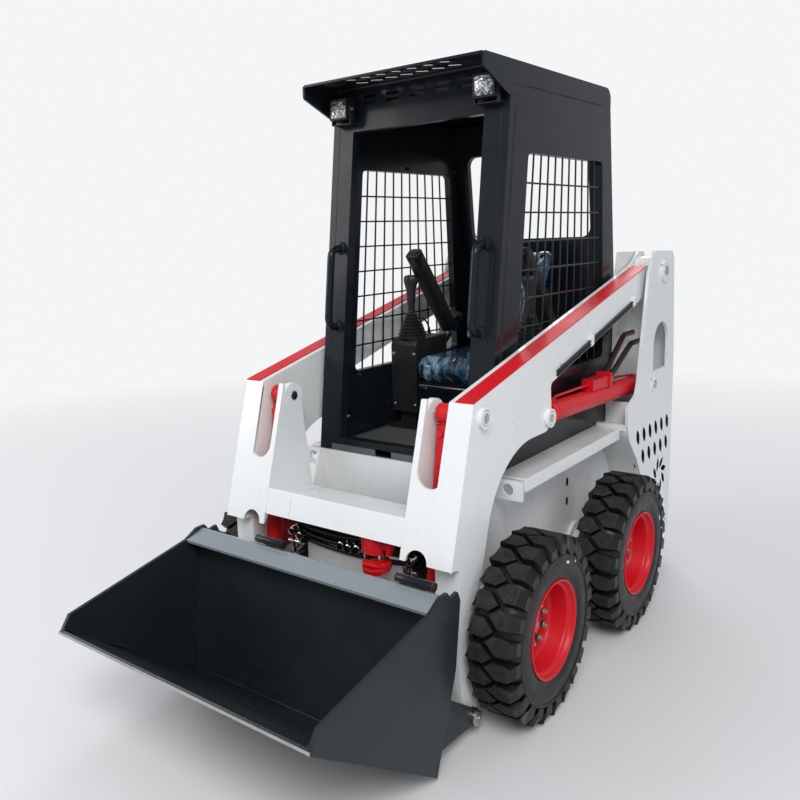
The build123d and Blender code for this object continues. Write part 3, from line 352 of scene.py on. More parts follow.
def paint(name, colour, roughness, coat, dust, peel=0.0004, splash_top=0.55, shine=0.5, film=0.07):
    """Sprayed paint: orange peel, uneven gloss, and road dust that thickens towards the ground."""
    f = Finish(name, colour, roughness)
    f.set(**{"Coat Weight": coat, "Coat Roughness": film, "Specular IOR Level": shine})
    cloud = f.ramp(f.noise(2.3, 6.0, 0.6), 0.40, 0.74)
    spots = f.ramp(f.noise(34.0, 5.0, 0.6), 0.46, 0.84)
    splash = f.sum(spots, f.height(0.05, splash_top, 1.0, 0.0), "MULTIPLY")
    dusty = f.between(cloud, colour, tinted(colour, ROAD_DUST, dust))
    muddy = tinted(colour, ROAD_DUST, dust * 2.4)
    f.use("Base Color", f.between(f.sum(splash, 0.5, "MULTIPLY"), dusty, muddy))
    f.use("Roughness", f.sum(f.ramp(f.noise(7.0, 6.0), 0.3, 0.7, roughness * 0.8, roughness * 1.25),
                             f.sum(splash, 0.18, "MULTIPLY")))
    f.bump(f.noise(240.0, 2.0), 0.3, peel)
    return f.material


def bare_steel(name, colour, roughness, brushed=(1, 1, 1)):
    f = Finish(name, colour, roughness, 1.0)
    stained = tinted(colour, (0.2, 0.17, 0.14), 0.35)
    f.use("Base Color", f.between(f.ramp(f.noise(14.0, 6.0), 0.4, 0.7), colour, stained))
    f.use("Roughness", f.ramp(f.noise(60.0, 5.0), 0.3, 0.7, roughness * 0.7, roughness * 1.4))
    f.bump(f.noise(420.0, 3.0, 0.6, brushed), 0.2, 0.0003)
    return f.material


def rubber(name, colour, roughness, grain, dust):
    f = Finish(name, colour, roughness)
    f.set(**{"Specular IOR Level": 0.35})
    cloud = f.ramp(f.noise(11.0, 8.0, 0.68), 0.40, 0.72)
    f.use("Base Color", f.between(cloud, colour, tinted(colour, ROAD_DUST, dust)))
    f.use("Roughness", f.ramp(f.noise(24.0, 5.0), 0.3, 0.7, roughness * 0.8, roughness * 1.2))
    f.bump(f.noise(grain, 4.0), 0.45, 0.0007)
    return f.material


def cast_metal(name, colour):
    f = Finish(name, colour, 0.7, 0.3)
    rusty = tinted(colour, (0.16, 0.10, 0.06), 0.3)
    f.use("Base Color", f.between(f.ramp(f.noise(9.0, 7.0, 0.7), 0.4, 0.7), colour, rusty))
    f.bump(f.noise(180.0, 6.0), 0.7, 0.0012)
    return f.material


def seat_wrap():
    """Crinkled glossy film over a blue cover marbled with black; its pale veins are painted highlights on the
    film's folds.
    """
    f = Finish("marbled_seat_wrap", (0.01, 0.05, 0.16), 0.2)
    f.set(**{"Coat Weight": 0.9, "Coat Roughness": 0.06})
    glint_folds = f.noise(9.0, 4.0, 0.55, (1.0, 0.75, 0.5), 2.6)
    blots = f.noise(14.0, 3.0, 0.5, (1.0, 0.8, 0.55), 3.4)
    glint_streaks = f.noise(21.0, 6.0, 0.62, (1.0, 0.9, 0.38), 1.8)
    # Painted highlight: pale streaks where the film's folds would catch the light
    painted_film_glint = f.sum(f.ramp(glint_streaks, 0.50, 0.60), f.ramp(glint_folds, 0.42, 0.56), "MULTIPLY")
    blue = f.between(f.ramp(blots, 0.42, 0.60), (0.005, 0.036, 0.088), (0.020, 0.135, 0.26))
    clouds = f.noise(16.0, 4.0, 0.55, (1.0, 0.9, 0.42), 1.6)
    marbled = f.between(f.ramp(clouds, 0.44, 0.55), blue, (0.003, 0.006, 0.012))
    f.use("Base Color", f.between(f.sum(painted_film_glint, 0.6, "MULTIPLY"), marbled, (0.34, 0.54, 0.68)))
    f.use("Roughness", f.ramp(f.noise(30.0, 3.0), 0.3, 0.7, 0.10, 0.30))
    crinkles = f.noise(34.0, 3.0, 0.5, (1.0, 0.7, 0.45), 2.2)
    f.bump(f.sum(crinkles, f.sum(f.noise(120.0, 2.0), 0.15, "MULTIPLY")), 0.75, 0.007)
    return f.material


def lamp_glass():
    """Moulded lens over a bright reflector; the dark and bright mottle in its colour is painted reflection in
    its deep prisms.
    """
    f = Finish("lamp_lens", (0.62, 0.64, 0.66), 0.12, 0.55)
    f.set(**{"Coat Weight": 1.0, "Coat Roughness": 0.03})
    # Painted reflection: dark and bright patches for the prisms' glints over the reflector
    ring = f.ramp(f.noise(46.0, 3.0, 0.5, None, 1.2), 0.36, 0.62)
    f.use("Base Color", f.between(ring, (0.035, 0.038, 0.042), (0.82, 0.84, 0.86)))
    f.bump(f.sum(f.cells(120.0), f.noise(60.0, 2.0)), 0.8, 0.004)
    return f.material


def tread_face():
    """The road face of the lugs: scuffed dull, with pale dust in the grain."""
    f = Finish("scuffed_tread", (0.030, 0.030, 0.030), 0.78)
    f.set(**{"Specular IOR Level": 0.3})
    scuffs = f.ramp(f.noise(38.0, 9.0, 0.75), 0.38, 0.72)
    f.use("Base Color", f.between(scuffs, (0.009, 0.009, 0.010), (0.040, 0.040, 0.039)))
    f.bump(f.sum(f.noise(300.0, 4.0), f.noise(42.0, 4.0)), 0.55, 0.0012)
    return f.material


FINISHES = {
    "white_paint": paint("white_gloss_paint", WHITE, 0.30, 0.35, dust=0.05, splash_top=0.30),
    "black_paint": paint("black_gloss_paint", BLACK, 0.24, 0.10, dust=0.02, shine=0.22),
    "bucket_paint": paint("bucket_grey_paint", BUCKET_GREY, 0.34, 0.08, dust=0.04, peel=0.0005, shine=0.26),
    "flange_paint": paint("bucket_edge_paint", (0.21, 0.25, 0.27), 0.30, 0.5, dust=0.08),
    "sill_grey": paint("sill_grey_paint", (0.085, 0.095, 0.10), 0.35, 0.2, dust=0.05),
    "mat_rib": rubber("worn_mat_rib", (0.085, 0.087, 0.088), 0.38, 320.0, 0.05),
    "red_paint": paint("red_gloss_paint", RED, 0.42, 0.12, dust=0.04, splash_top=0.3, shine=0.28, film=0.25),
    "steel": bare_steel("turned_steel", STEEL, 0.3, (1, 8, 8)),
    "cast_iron": cast_metal("cast_iron", (0.06, 0.06, 0.06)),
    "black_rubber": rubber("mat_rubber", (0.012, 0.012, 0.013), 0.5, 320.0, 0.04),
    "black_plastic": rubber("moulded_plastic", PLASTIC, 0.42, 520.0, 0.02),
    "lamp_black": rubber("lamp_housing", PLASTIC, 0.35, 500.0, 0.02),
    "seat_cover": seat_wrap(),
    "tyre": rubber("tyre_rubber", (0.005, 0.005, 0.006), 0.42, 260.0, 0.03),
    "tread": tread_face(),
    "lens": lamp_glass(),
    "hose": rubber("hydraulic_hose", (0.012, 0.012, 0.013), 0.38, 700.0, 0.02),
    "chrome": bare_steel("plated_fittings", (0.74, 0.74, 0.72), 0.16),
    "zinc": bare_steel("zinc_bolts", (0.50, 0.50, 0.49), 0.34),
    "label": paint("bare_label_foil", (0.50, 0.51, 0.52), 0.35, 0.4, dust=0.05),
    "weld": cast_metal("dark_joint", (0.012, 0.012, 0.013)),
}


def carried(piece, body, slot, *replaced):
    """Gives a piece its body and hides the CAD nodes that it stands for; its slot is not used."""
    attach(piece, body)
    if replaced:
        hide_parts(*replaced)
    return piece


def dressed(piece, body, slot, *replaced, finish=None):
    """Gives a piece its finish too, which is its slot's own unless another is named."""
    piece.data.materials.clear()
    piece.data.materials.append(FINISHES[finish or slot])
    return carried(piece, body, slot, *replaced)


def refinished(piece, finish, test):
    """Gives the faces that pass a test (middle in millimetres, normal) another finish."""
    piece.data.materials.append(FINISHES[finish])
    last = len(piece.data.materials) - 1
    for face in piece.data.polygons:
        if test(face.center * 1000.0, face.normal):
            face.material_index = last


def bolt(name, across, height=0.7):
    """A hexagon head on a washer, its foot at X 0, sized by its width across."""
    middle_x = across * (height / 2 + 0.16) / 1000.0
    bpy.ops.object.select_all(action="DESELECT")
    bpy.ops.mesh.primitive_cylinder_add(vertices=6, radius=across / 1730.0, depth=across * height / 1000.0,
                                        location=(middle_x, 0, 0), rotation=(0, math.pi / 2, 0))
    head = bpy.context.object
    bpy.ops.object.transform_apply(location=True, rotation=True, scale=True)
    rounded(head, across * 0.06, 1)
    washer = turned(name, [(0, across * 0.78), (across * 0.13, across * 0.78), (across * 0.17, across * 0.74),
                           (across * 0.17, 0)], 20)
    return joined(name, [washer, head])


def bolted(name, body, across, places, towards, slot="steel", finish="zinc"):
    """The same bolt at many places (millimetres), joined as one piece."""
    first = bolt(name, across)
    made = [pointed(copy_of(first, name), at(*place), towards) for place in places]
    bpy.data.objects.remove(first)
    return dressed(joined(name, made), body, slot, finish=finish)


# Steelwork carried over from the frame
def softened(node, width=1.4, merged=True):
    """A copy of a CAD node with its flat faces joined and its edges broken, in the node's place."""
    piece = copy_of(NODES[node], node + "_skin")
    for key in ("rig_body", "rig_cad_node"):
        del piece[key]
    piece.parent = None
    edited(piece)
    bpy.ops.mesh.remove_doubles(threshold=1e-5)
    if merged:
        bpy.ops.mesh.dissolve_limited(angle_limit=math.radians(0.6))
    bpy.ops.object.mode_set(mode="OBJECT")
    rounded(piece, width, 2, 32.0)
    return dressed(piece, BODY_OF[node], SLOT_OF[node], node)


REMODELLED = ["seat_cushion", "seat_backrest", "control_levers", "side_guards", "engine_block", "cab_roof"]
REMODELLED += [f"{piece}_{end}_{side}" for piece in ("tyre", "rim")
               for end in ("front", "rear") for side in ("left", "right")]
SKINS = {node: softened(node) for node in NODES if node not in REMODELLED}
SKINS["side_guards"] = softened("side_guards", width=0.8, merged=False)
SKINS["engine_block"] = softened("engine_block", width=12.0)
SKINS["cab_roof"] = softened("cab_roof", width=0.8, merged=False)
SIDES = (("left", 1), ("right", -1))


# Wheels, with the axle on X and the outer side at +X; outlines hold places along it with their radius
TYRE_FLANK = [(70.5, 149.4), (70.8, 158.8), (72.6, 161.0), (74.2, 166.0), (74.2, 171.0), (76.6, 175.0),
              (78.6, 186.0), (79.6, 200.0), (79.2, 216.0), (77.4, 226.5), (80.9, 229.5), (81.6, 232.0),
              (81.0, 235.0), (76.4, 238.0), (71.0, 245.0), (65.0, 253.0), (57.0, 260.0), (46.0, 266.0),
              (34.0, 271.0)]
TYRE_CROWN = (0.0, 273.0)
RIM_TURN = [(-70.4, 142.0), (-70.4, 148.6), (70.6, 148.6), (71.0, 157.6), (73.4, 158.0), (75.6, 157.0),
            (76.4, 154.6), (75.6, 152.2), (73.0, 150.4), (66.0, 147.4), (60.0, 145.6), (57.4, 143.6),
            (56.4, 139.0), (54.0, 136.8), (46.0, 135.6), (6.0, 132.0), (-4.0, 129.4), (-9.0, 124.0),
            (-12.6, 114.0), (-13.6, 96.0), (-12.0, 84.0), (-8.6, 76.0), (-7.6, 70.0), (-7.6, 30.3),
            (-21.0, 30.3), (-21.0, 120.0), (-26.0, 134.0), (-40.0, 139.0), (-70.4, 142.0)]
# The two lugs of one pitch, as outlines seen from the road (across the tyre, round it)
LUG_TOPS = (((19.6, 9.2), (23.0, 5.6), (60.0, 4.6), (79.6, -2.0),
             (79.6, -42.0), (60.0, -49.0), (24.0, -50.6), (-12.2, -17.0)),
            ((-79.6, 42.0), (-60.0, 49.0), (-24.0, 50.6), (12.2, 17.0),
             (-19.6, -9.2), (-23.0, -5.6), (-60.0, -4.6), (-79.6, 2.0)))
LUG_FOOT = 262.0
CUTS_ACROSS = (-60.0, 60.0)
CUTS_ROUND = (-40.0, -26.0, 0.0, 26.0, 40.0)
SHOULDER_X = 78.0
SHOULDER_DROP = (27.0, 26.0)    # at the lug's face and at its foot


def sliced(cuts, axis):
    """Cuts the piece that is being edited across an axis at some places."""
    normal = Vector([float(i == axis) for i in range(3)])
    for cut in cuts:
        bpy.ops.mesh.select_all(action="SELECT")
        bpy.ops.mesh.bisect(plane_co=normal * cut / 1000.0, plane_no=normal)


def lug_block(name, top):
    """One tread block: cut to its outline, its face curved to the road and its shoulder drawn down."""
    lug = plate(name, [(x, y, LUG_FOOT) for x, y in top], (0, 0, TYRE_R - LUG_FOOT))
    edited(lug)
    sliced(CUTS_ACROSS, 0)
    sliced(CUTS_ROUND, 1)
    bpy.ops.object.mode_set(mode="OBJECT")
    for y in sorted({round(v.co.y * 1000, 1) for v in lug.data.vertices}):
        drop = TYRE_R - math.sqrt(TYRE_R ** 2 - y * y)
        shifted(lug, "VERT", lambda p: abs(p.y - y) < 0.2 and p.z > 290, (0, 0, -drop))
    shifted(lug, "VERT", lambda p: abs(p.x) > SHOULDER_X and p.z > 285, (0, 0, -SHOULDER_DROP[0]))
    shifted(lug, "VERT", lambda p: abs(p.x) > SHOULDER_X and p.z <= 262.5, (0, 0, -SHOULDER_DROP[1]))
    lug.data.materials.append(FINISHES["tyre"])
    refinished(lug, "tread", lambda c, n: n.z > 0.85 and c.z > 280)
    return rounded(lug, 1.9, 2, 42.0)


def tyre_tread():
    lug = joined("lugs", [lug_block(f"lug_{i}", top) for i, top in enumerate(LUG_TOPS)])
    edited(lug)
    copies = LUG_COUNT - 1
    bpy.ops.mesh.spin(steps=copies, dupli=True, angle=math.tau / LUG_COUNT * copies,
                      center=(0, 0, 0), axis=(1, 0, 0))
    bpy.ops.object.mode_set(mode="OBJECT")
    return lug


def tyre_rubber():
    profile = [(-x, r) for x, r in TYRE_FLANK] + [TYRE_CROWN] + TYRE_FLANK[::-1]
    carcass = turned("tyre_rubber", profile + [profile[0]], 96)
    carcass.data.materials.append(FINISHES["tyre"])
    return joined("tyre_rubber", [carcass, tyre_tread()])


def hub_fittings():
    """Hub cap, studs with their nuts on the wheel disc, and the valve stem."""
    cap = turned("hub_cap", [(-8, 46), (-2, 46), (0, 44), (0, 34), (8, 31), (11, 26), (12, 0)], 40)
    nut = bolt("wheel_nut", 22.0, 0.8)
    stud = turned("stud", [(-8, 7), (26, 7), (27.5, 5.6), (27.5, 0)], 16)
    nut = joined("wheel_nut", [nut, stud])
    made = [cap]
    nuts, disc_x, circle_r = 8, -0.0076, 0.060
    for i in range(nuts):
        a = math.tau * (i + 0.5) / nuts
        made.append(placed(copy_of(nut, "nut"), (disc_x, circle_r * math.cos(a), circle_r * math.sin(a))))
    bpy.data.objects.remove(nut)
    valve = turned("valve", [(0, 4), (14, 4), (15, 3), (30, 3), (31, 4), (40, 4), (41, 0)], 14)
    made.append(pointed(valve, Vector((-12, 0, 122)) / 1000, (1, 0, -0.25)))
    return joined("hub_fittings", made)


def flank_marks():
    """A short white dash and a dot on the tyre's flank."""
    flank_x, thick = 0.0804, 0.7
    outlines = (((0, -10, 208), (0, 10, 207.6), (0, 10.6, 216), (0, -9.4, 216.4)),
                ((0, 54, 214), (0, 60, 212), (0, 62, 219), (0, 56, 221)))
    marks = [plate("flank_dash", outline, (thick, 0, 0)) for outline in outlines]
    marks = [placed(mark, (flank_x, 0, 0), (-14, 0, 0)) for mark in marks]
    return rounded(joined("flank_dash", marks), 0.3, 1)


RUBBER_MODEL, RIM_MODEL, HUB_MODEL = tyre_rubber(), turned("rim_steel", RIM_TURN, 72), hub_fittings()
DASH_MODEL = flank_marks()


def wheel_piece(model, name, along, flip, turn=0.0):
    """A copy of a wheel's model at its axle, mirrored for the right side."""
    piece = placed(copy_of(model, name), turn=(turn * flip, 0, 0))
    middle = at(TYRE_MID, along, TYRE_R)
    return placed(piece, (middle.x * flip, middle.y, middle.z), scale=(flip, 1, 1))


for end, along, dash_turn in (("front", 0.0, -6.0), ("rear", WHEELBASE, -52.0)):
    middle = at(TYRE_MID, along, TYRE_R)
    for side, flip in SIDES:
        where, body = f"{end}_{side}", f"wheel_{end}_{side}"
        carried(wheel_piece(RUBBER_MODEL, f"rubber_{where}", along, flip), body, "tyre", f"tyre_{where}")
        dressed(wheel_piece(RIM_MODEL, f"steel_rim_{where}", along, flip), body, "red_paint", f"rim_{where}")
        hub = dressed(wheel_piece(HUB_MODEL, f"hub_bolts_{where}", along, flip), body, "steel", finish="zinc")
        mid_x = middle.x * 1000 * flip
        refinished(hub, "weld", lambda c, n: abs(abs(c.x) - abs(mid_x)) < 9.5 and math.hypot(
            c.y - middle.y * 1000, c.z - TYRE_R) < 47)
        marks = wheel_piece(DASH_MODEL, f"flank_marks_{where}", along, flip, dash_turn)
        dressed(marks, body, "white_paint")
for model in (RUBBER_MODEL, RIM_MODEL, HUB_MODEL, DASH_MODEL):
    bpy.data.objects.remove(model)


# Cab: lamps, seals, handle flanges and fastenings
def work_lamp(side, flip):
    """A square lamp on the door frame's head, with its lens, rim, back, wire and bolts."""
    lamp_x, lamp_z = LAMP_X * flip, SEAM_Z - LAMP_DROP
    face = front_y(lamp_z) - LAMP_GAP - LAMP_D

    def part(name, low, high, *edge):
        """A block between two corners (x, y, z), measured from the middle of the lamp's face."""
        corners = [(lamp_x + x, face + y, lamp_z + z) for x, y, z in (low, high)]
        return block(name, *corners, *edge)

    glass = part(f"lamp_lens_{side}", (-32, 0.4, -29), (32, 4.2, 29), 3.0, 3)
    picked(glass, "FACE", lambda c, n: n.y < -0.9)
    bpy.ops.mesh.inset(thickness=0.004, depth=0.0)
    bpy.ops.mesh.inset(thickness=0.006, depth=-0.0016)
    bpy.ops.object.mode_set(mode="OBJECT")
    dressed(glass, "chassis", "lamp_black", finish="lens")
    rim = [part("ring", (x0, -1.5, z0), (x1, 7, z1), 2.2) for x0, z0, x1, z1 in
           ((-39, -36, 39, -29.5), (-39, 29.5, 39, 36), (-39, -36, -32.5, 36), (32.5, -36, 39, 36))]
    back = part("lamp_back", (-24, 40, -20), (24, 53, 20), 6, 3)
    dressed(joined(f"lamp_frame_{side}", rim + [back]), "chassis", "lamp_black")
    route = [(0, face + 52, 0), (4, face + 58, -6), (6, face + 59, -28), (5, front_y(lamp_z - 40) + 1, -40)]
    wire = tube(f"lamp_wire_{side}", [at(lamp_x + x, y, lamp_z + z) for x, y, z in route], 2.4)
    dressed(wire, "chassis", "black_rubber")
    for name, way in (("lamp_bolts", 1), ("lamp_bolts_in", -1)):
        bolted(f"{name}_{side}", "chassis", 9, [(lamp_x + 43.0 * way, face + 23, lamp_z)], (way, 0, 0),
               "lamp_black")


def cab_seams(side, flip):
    """The seal behind the door post, and thin dark strips in the slits of the roof and the post, painted as
    the shade of those gaps.
    """
    edge, foot, head = CAB_X * flip, DECK_Z + 14, SEAM_Z - 60
    seal = panel(f"post_seal_{side}", [(edge - 1.5 * flip, front_y(z) + 34 + deep, z) for z, deep in
                                       ((foot, 0), (head, 0), (head, 9), (foot, 9))], (2.6 * flip, 0, 0))
    dressed(rounded(seal, 0.8), "chassis", "black_rubber", finish="weld")
    # Painted shade: each slit is a thin dark strip laid on the wall where its gap would be in shade
    for name, y0, y1, low in (("roof_slit", 328, 949, SEAM_Z - 1), ("post_slit", 222, 292, SEAM_Z - 38)):
        slit = panel(f"{name}_{side}", [(edge - 0.6 * flip, y, z) for y, z in
                                        ((y0, low), (y1, low), (y1, low + 5), (y0, low + 5))],
                     (1.0 * flip, 0, 0))
        dressed(rounded(slit, 0.3, 1), "chassis", "black_rubber", finish="weld")


def handle_flanges(side, flip):
    """The turned feet of the grab handle."""
    flange = [(-1, 24), (3.5, 24), (5.5, 22.5), (6.0, 18), (10, 14.2), (14, 13.1), (14, 12), (-1, 12),
              (-1, 24)]
    flanges = []
    for z in (DECK_Z + HANDLE_Z[0], DECK_Z + HANDLE_Z[1]):
        place = at(HANDLE_X * flip, front_y(z), z)
        flanges.append(pointed(turned("handle_flange", flange, 28), place, (0, -1, 0)))
    dressed(joined(f"handle_flanges_{side}", flanges), "chassis", "black_paint")


def wall_bolts(side, flip):
    """Bolts inside the cab's wall: round the window guard and over the foot well."""
    inside = (CAB_X - CAB_WALL) * flip
    guard = [(inside, y, z) for z in (DECK_Z + 262, SEAM_Z - 186) for y in (275, 640, 1000)]
    bolted(f"guard_bolts_{side}", "chassis", 11, guard, (-flip, 0, 0), "steel", "weld")
    kick = [((CAB_X - CAB_WALL - 1.0) * flip, y, z) for y, z in ((156, 800), (196, 830))]
    bolted(f"kick_bolts_{side}", "chassis", 10, kick, (-flip, 0, 0))


for side, flip in SIDES:
    work_lamp(side, flip)
    cab_seams(side, flip)
    handle_flanges(side, flip)
    wall_bolts(side, flip)

# The visor is thinned from below, so that its slots let the light through
VISOR_SHEET = 2.4
recess = block("visor_recess", (-346, 66, ROOF_Z - 30), (346, 222, ROOF_Z - VISOR_SHEET), 0.1, 1)
only(SKINS["cab_roof"])
thin = SKINS["cab_roof"].modifiers.new("thin_visor", "BOOLEAN")
thin.operation, thin.object, thin.solver = "DIFFERENCE", recess, "EXACT"
bpy.ops.object.modifier_apply(modifier=thin.name)
bpy.data.objects.remove(recess)

# The ribbed floor mat with its border
RIB_COUNT, RIB_PITCH, RIB_W, RIB_H = 19, 16.0, 7.0, 4.0
rib = block("mat_rib", (-292, 112, FLOOR_TOP), (292, 112 + RIB_W, FLOOR_TOP + RIB_H), 1.2, 1)
ribs = [placed(copy_of(rib, "mat_rib"), (0, RIB_PITCH * i / 1000, 0)) for i in range(RIB_COUNT)]
bpy.data.objects.remove(rib)
ribs += [block("mat_edge", (x - 6, 104, FLOOR_TOP), (x + 6, 418, FLOOR_TOP + 3.2), 1.2) for x in (-300, 300)]
dressed(joined("floor_mat_ribs", ribs), "chassis", "black_rubber", finish="mat_rib")

# The seat's slide: two rails a side, and the bars across
rails = []
for _, flip in SIDES:
    for low, high in (((146, 470, 906), (176, 925, 918)), ((152, 455, 918), (170, 915, 928))):
        rails.append(block("rail", (low[0] * flip, *low[1:]), (high[0] * flip, *high[1:]), 2.0))
rails.append(block("slide_bar", (-160, 440, 921), (160, 448, 929), 3.0, 3))
rails.append(block("foot_bar", (-120, 462, 806), (120, 476, 816), 3.0, 3))
dressed(joined("seat_rails", rails), "chassis", "steel", finish="chrome")


# Seat: crowned pads under a film wrap, swollen by simulation
def swollen(piece):
    cloth = piece.modifiers.new("swelling", "CLOTH")
    cloth.settings.quality = 4
    cloth.settings.use_pressure, cloth.settings.uniform_pressure_force = True, 4.0
    cloth.settings.effector_weights.gravity = 0.0
    cloth.settings.tension_stiffness = cloth.settings.compression_stiffness = 12.0
    for step in range(1, 21):
        bpy.context.scene.frame_set(step)
    bpy.ops.object.modifier_apply(modifier=cloth.name)
    bpy.context.scene.frame_set(1)


def pad(name, low, high, lean, node, seams, swell, corner):
    """A padded cushion between two corners (millimetres), leaned back by lean over its height.

    Each seam is an axis, its place on it, its depth and its width, in metres; swell is the most
    that a point may rise, in millimetres.
    """
    slack, voxel, spill = 0.010, 0.0065, (0.004, 0.006, 0.0)
    base, top = at(*low), at(*high)
    middle = (base + top) / 2
    size = [(b - a) / 1000.0 for a, b in zip(low, high)]
    bpy.ops.object.select_all(action="DESELECT")
    bpy.ops.mesh.primitive_cube_add(size=1, location=middle, scale=[s - slack for s in size])
    piece = bpy.context.object
    piece.name = name
    bpy.ops.object.transform_apply(location=True, rotation=True, scale=True)
    rounded(piece, min(corner, 0.42 * min(size) * 1000), 5, 30)
    remesh = piece.modifiers.new("even_mesh", "REMESH")
    remesh.mode, remesh.voxel_size = "VOXEL", voxel
    bpy.ops.object.modifier_apply(modifier=remesh.name)
    start = [v.co.copy() for v in piece.data.vertices]
    swollen(piece)
    for vertex, first in zip(piece.data.vertices, start):
        step = vertex.co - first
        if step.length > swell / 1000.0:
            vertex.co = first + step.normalized() * swell / 1000.0
        for axis, place, depth, width in seams:
            off = (vertex.co[axis] - place) / width
            if abs(off) < 3:
                pull = math.exp(-off * off) * depth
                vertex.co += (middle - vertex.co).normalized() * pull
        vertex.co = [min(max(c, a - s), b + s) for c, a, b, s in zip(vertex.co, base, top, spill)]
        vertex.co.y += lean * (vertex.co.z - base.z)
    only(piece)
    fine = piece.modifiers.new("smooth_cover", "SUBSURF")
    fine.levels = fine.render_levels = 1
    bpy.ops.object.modifier_apply(modifier=fine.name)
    bpy.ops.object.shade_smooth()
    dressed(piece, "chassis", "seat_cover", node)


SEAT_LOW, SEAT_TOP, BACK_RISE = FLOOR_TOP + 192.0, FLOOR_TOP + 292.0, 400.0
BACK_LEAN = 85.0 / 402.0
SIDE_SEAM, CROSS_SEAM = (0.010, 0.006), (0.007, 0.005)
pad("seat_cushion_pad", (-195, 430, SEAT_LOW), (195, 900, SEAT_TOP), 0.0, "seat_cushion",
    [(0, -0.118, *SIDE_SEAM), (0, 0.118, *SIDE_SEAM),
     (1, at(0, 560, 0).y, *CROSS_SEAM), (1, at(0, 690, 0).y, *CROSS_SEAM)], 20.0, 40.0)
pad("seat_back_pad", (-190, 800, SEAT_TOP), (190, 898, SEAT_TOP + BACK_RISE), BACK_LEAN, "seat_backrest",
    [(0, -0.112, *SIDE_SEAM), (0, 0.112, *SIDE_SEAM), (2, 1.170, *CROSS_SEAM), (2, 1.300, *CROSS_SEAM)],
    18.0, 38.0)
piping = [tube("seat_piping", [at(x * flip, y, z) for x, y, z in
                               ((178, 436, 948), (186, 480, 950), (188, 700, 950), (186, 880, 950))], 3.0)
          for flip in (-1, 1)]
dressed(joined("seat_piping", piping), "chassis", "seat_cover", finish="hose")

# Raised armrests, each a padded bar crowned along its length
REST_TIP, REST_ROOT = (537.0, FLOOR_TOP + 690.0), (790.0, FLOOR_TOP + 372.0)
REST_X = 237.0
REST_HALF = (31.5, 28.5)    # half the bar's width and depth


def armrest(side, flip):
    """A padded bar between the armrest's tip and root, with a groove near each end."""
    run = math.dist(REST_TIP, REST_ROOT)
    half_x, half_y, half_z = *REST_HALF, run / 2 + 4
    rest = block(f"armrest_pad_{side}", (-half_x, -FRONT_AXLE_Y - half_y, -half_z),
                 (half_x, -FRONT_AXLE_Y + half_y, half_z), 21.0, 6)
    edited(rest)
    bpy.ops.mesh.subdivide(number_cuts=3)
    bpy.ops.object.mode_set(mode="OBJECT")
    for vertex in rest.data.vertices:
        x, y, z = vertex.co
        groove = 0.03 * math.exp(-((abs(z) - 0.19) / 0.006) ** 2)
        crown = 1.0 + 0.07 * math.cos(math.pi * z / (run / 1000.0 + 0.02)) - groove
        vertex.co = (x * crown, y * crown, z)
    bpy.ops.object.shade_smooth()
    lean = math.atan2(REST_ROOT[0] - REST_TIP[0], REST_TIP[1] - REST_ROOT[1])
    middle = at(REST_X * flip, (REST_TIP[0] + REST_ROOT[0]) / 2, (REST_TIP[1] + REST_ROOT[1]) / 2)
    dressed(placed(rest, middle, (math.degrees(lean), 0, 0)), "chassis", "black_plastic", finish="hose")


for side, flip in SIDES:
    armrest(side, flip)

# Control levers: ridged bellows, rod and a moulded grip, as heights over the console with their radius
CONSOLE_TOP = FLOOR_TOP + 350.0
LEVER_X, LEVER_Y = 263.0, 550.0
RIDGES, RIDGE_PITCH, RIDGE_TAPER = 7, 13.4, 5.0
BOOT = [(0.3, 0), (0.3, 55.5), (7.0, 55.5), (10.0, 52.0)]
for i in range(RIDGES):
    r = 53.0 - RIDGE_TAPER * i
    z = 12.0 + RIDGE_PITCH * i
    BOOT += [(z, r - 2.0), (z + 3.0, r + 3.0), (z + 6.5, r + 3.6), (z + 9.5, r - 3.0), (z + 12.0, r - 5.5)]
BOOT += [(108, 15), (114, 11.5), (120, 9), (120, 0)]
GRIP = [(112, 0), (112, 13), (132, 14), (150, 17), (168, 18), (186, 18.5), (200, 20.5), (212, 24.5),
        (224, 28.5), (236, 30.0), (246, 28.5), (252, 23), (254.5, 13), (255, 0)]
GRIP_BUTTON = [(0, 4.2), (2.6, 4.2), (3.4, 3.2), (3.6, 0)]
CABLE_STUB = [(-4, 8), (8, 8), (9, 10), (20, 10), (21, 7), (30, 7), (31, 8.5), (38, 8.5), (38, 0)]
CABLE_STARTS = ((305, 612), (318, 640), (292, 648))


def lever(side, flip):
    """A control lever in its bellows, with a flat on the grip's front and two buttons on top."""
    base = at(LEVER_X * flip, LEVER_Y, CONSOLE_TOP)
    bellows = pointed(turned(f"bellows_{side}", BOOT, 48), base, (0, 0, 1))
    dressed(bellows, "chassis", "black_plastic", "control_levers", finish="hose")
    grip = pointed(turned(f"grip_{side}", GRIP, 36), base, (0, 0, 1))
    shifted(grip, "FACE", lambda c, n: c.z > CONSOLE_TOP + 214 and n.y < -0.55, (0, 4, 0))
    dressed(grip, "chassis", "black_plastic")
    buttons = [pointed(turned("grip_button", GRIP_BUTTON, 18), base + Vector((x / 1000, -0.006, 0.252)),
                       (0, -0.35, 1)) for x in (-7, 7)]
    dressed(joined(f"grip_buttons_{side}", buttons), "chassis", "black_plastic", finish="hose")


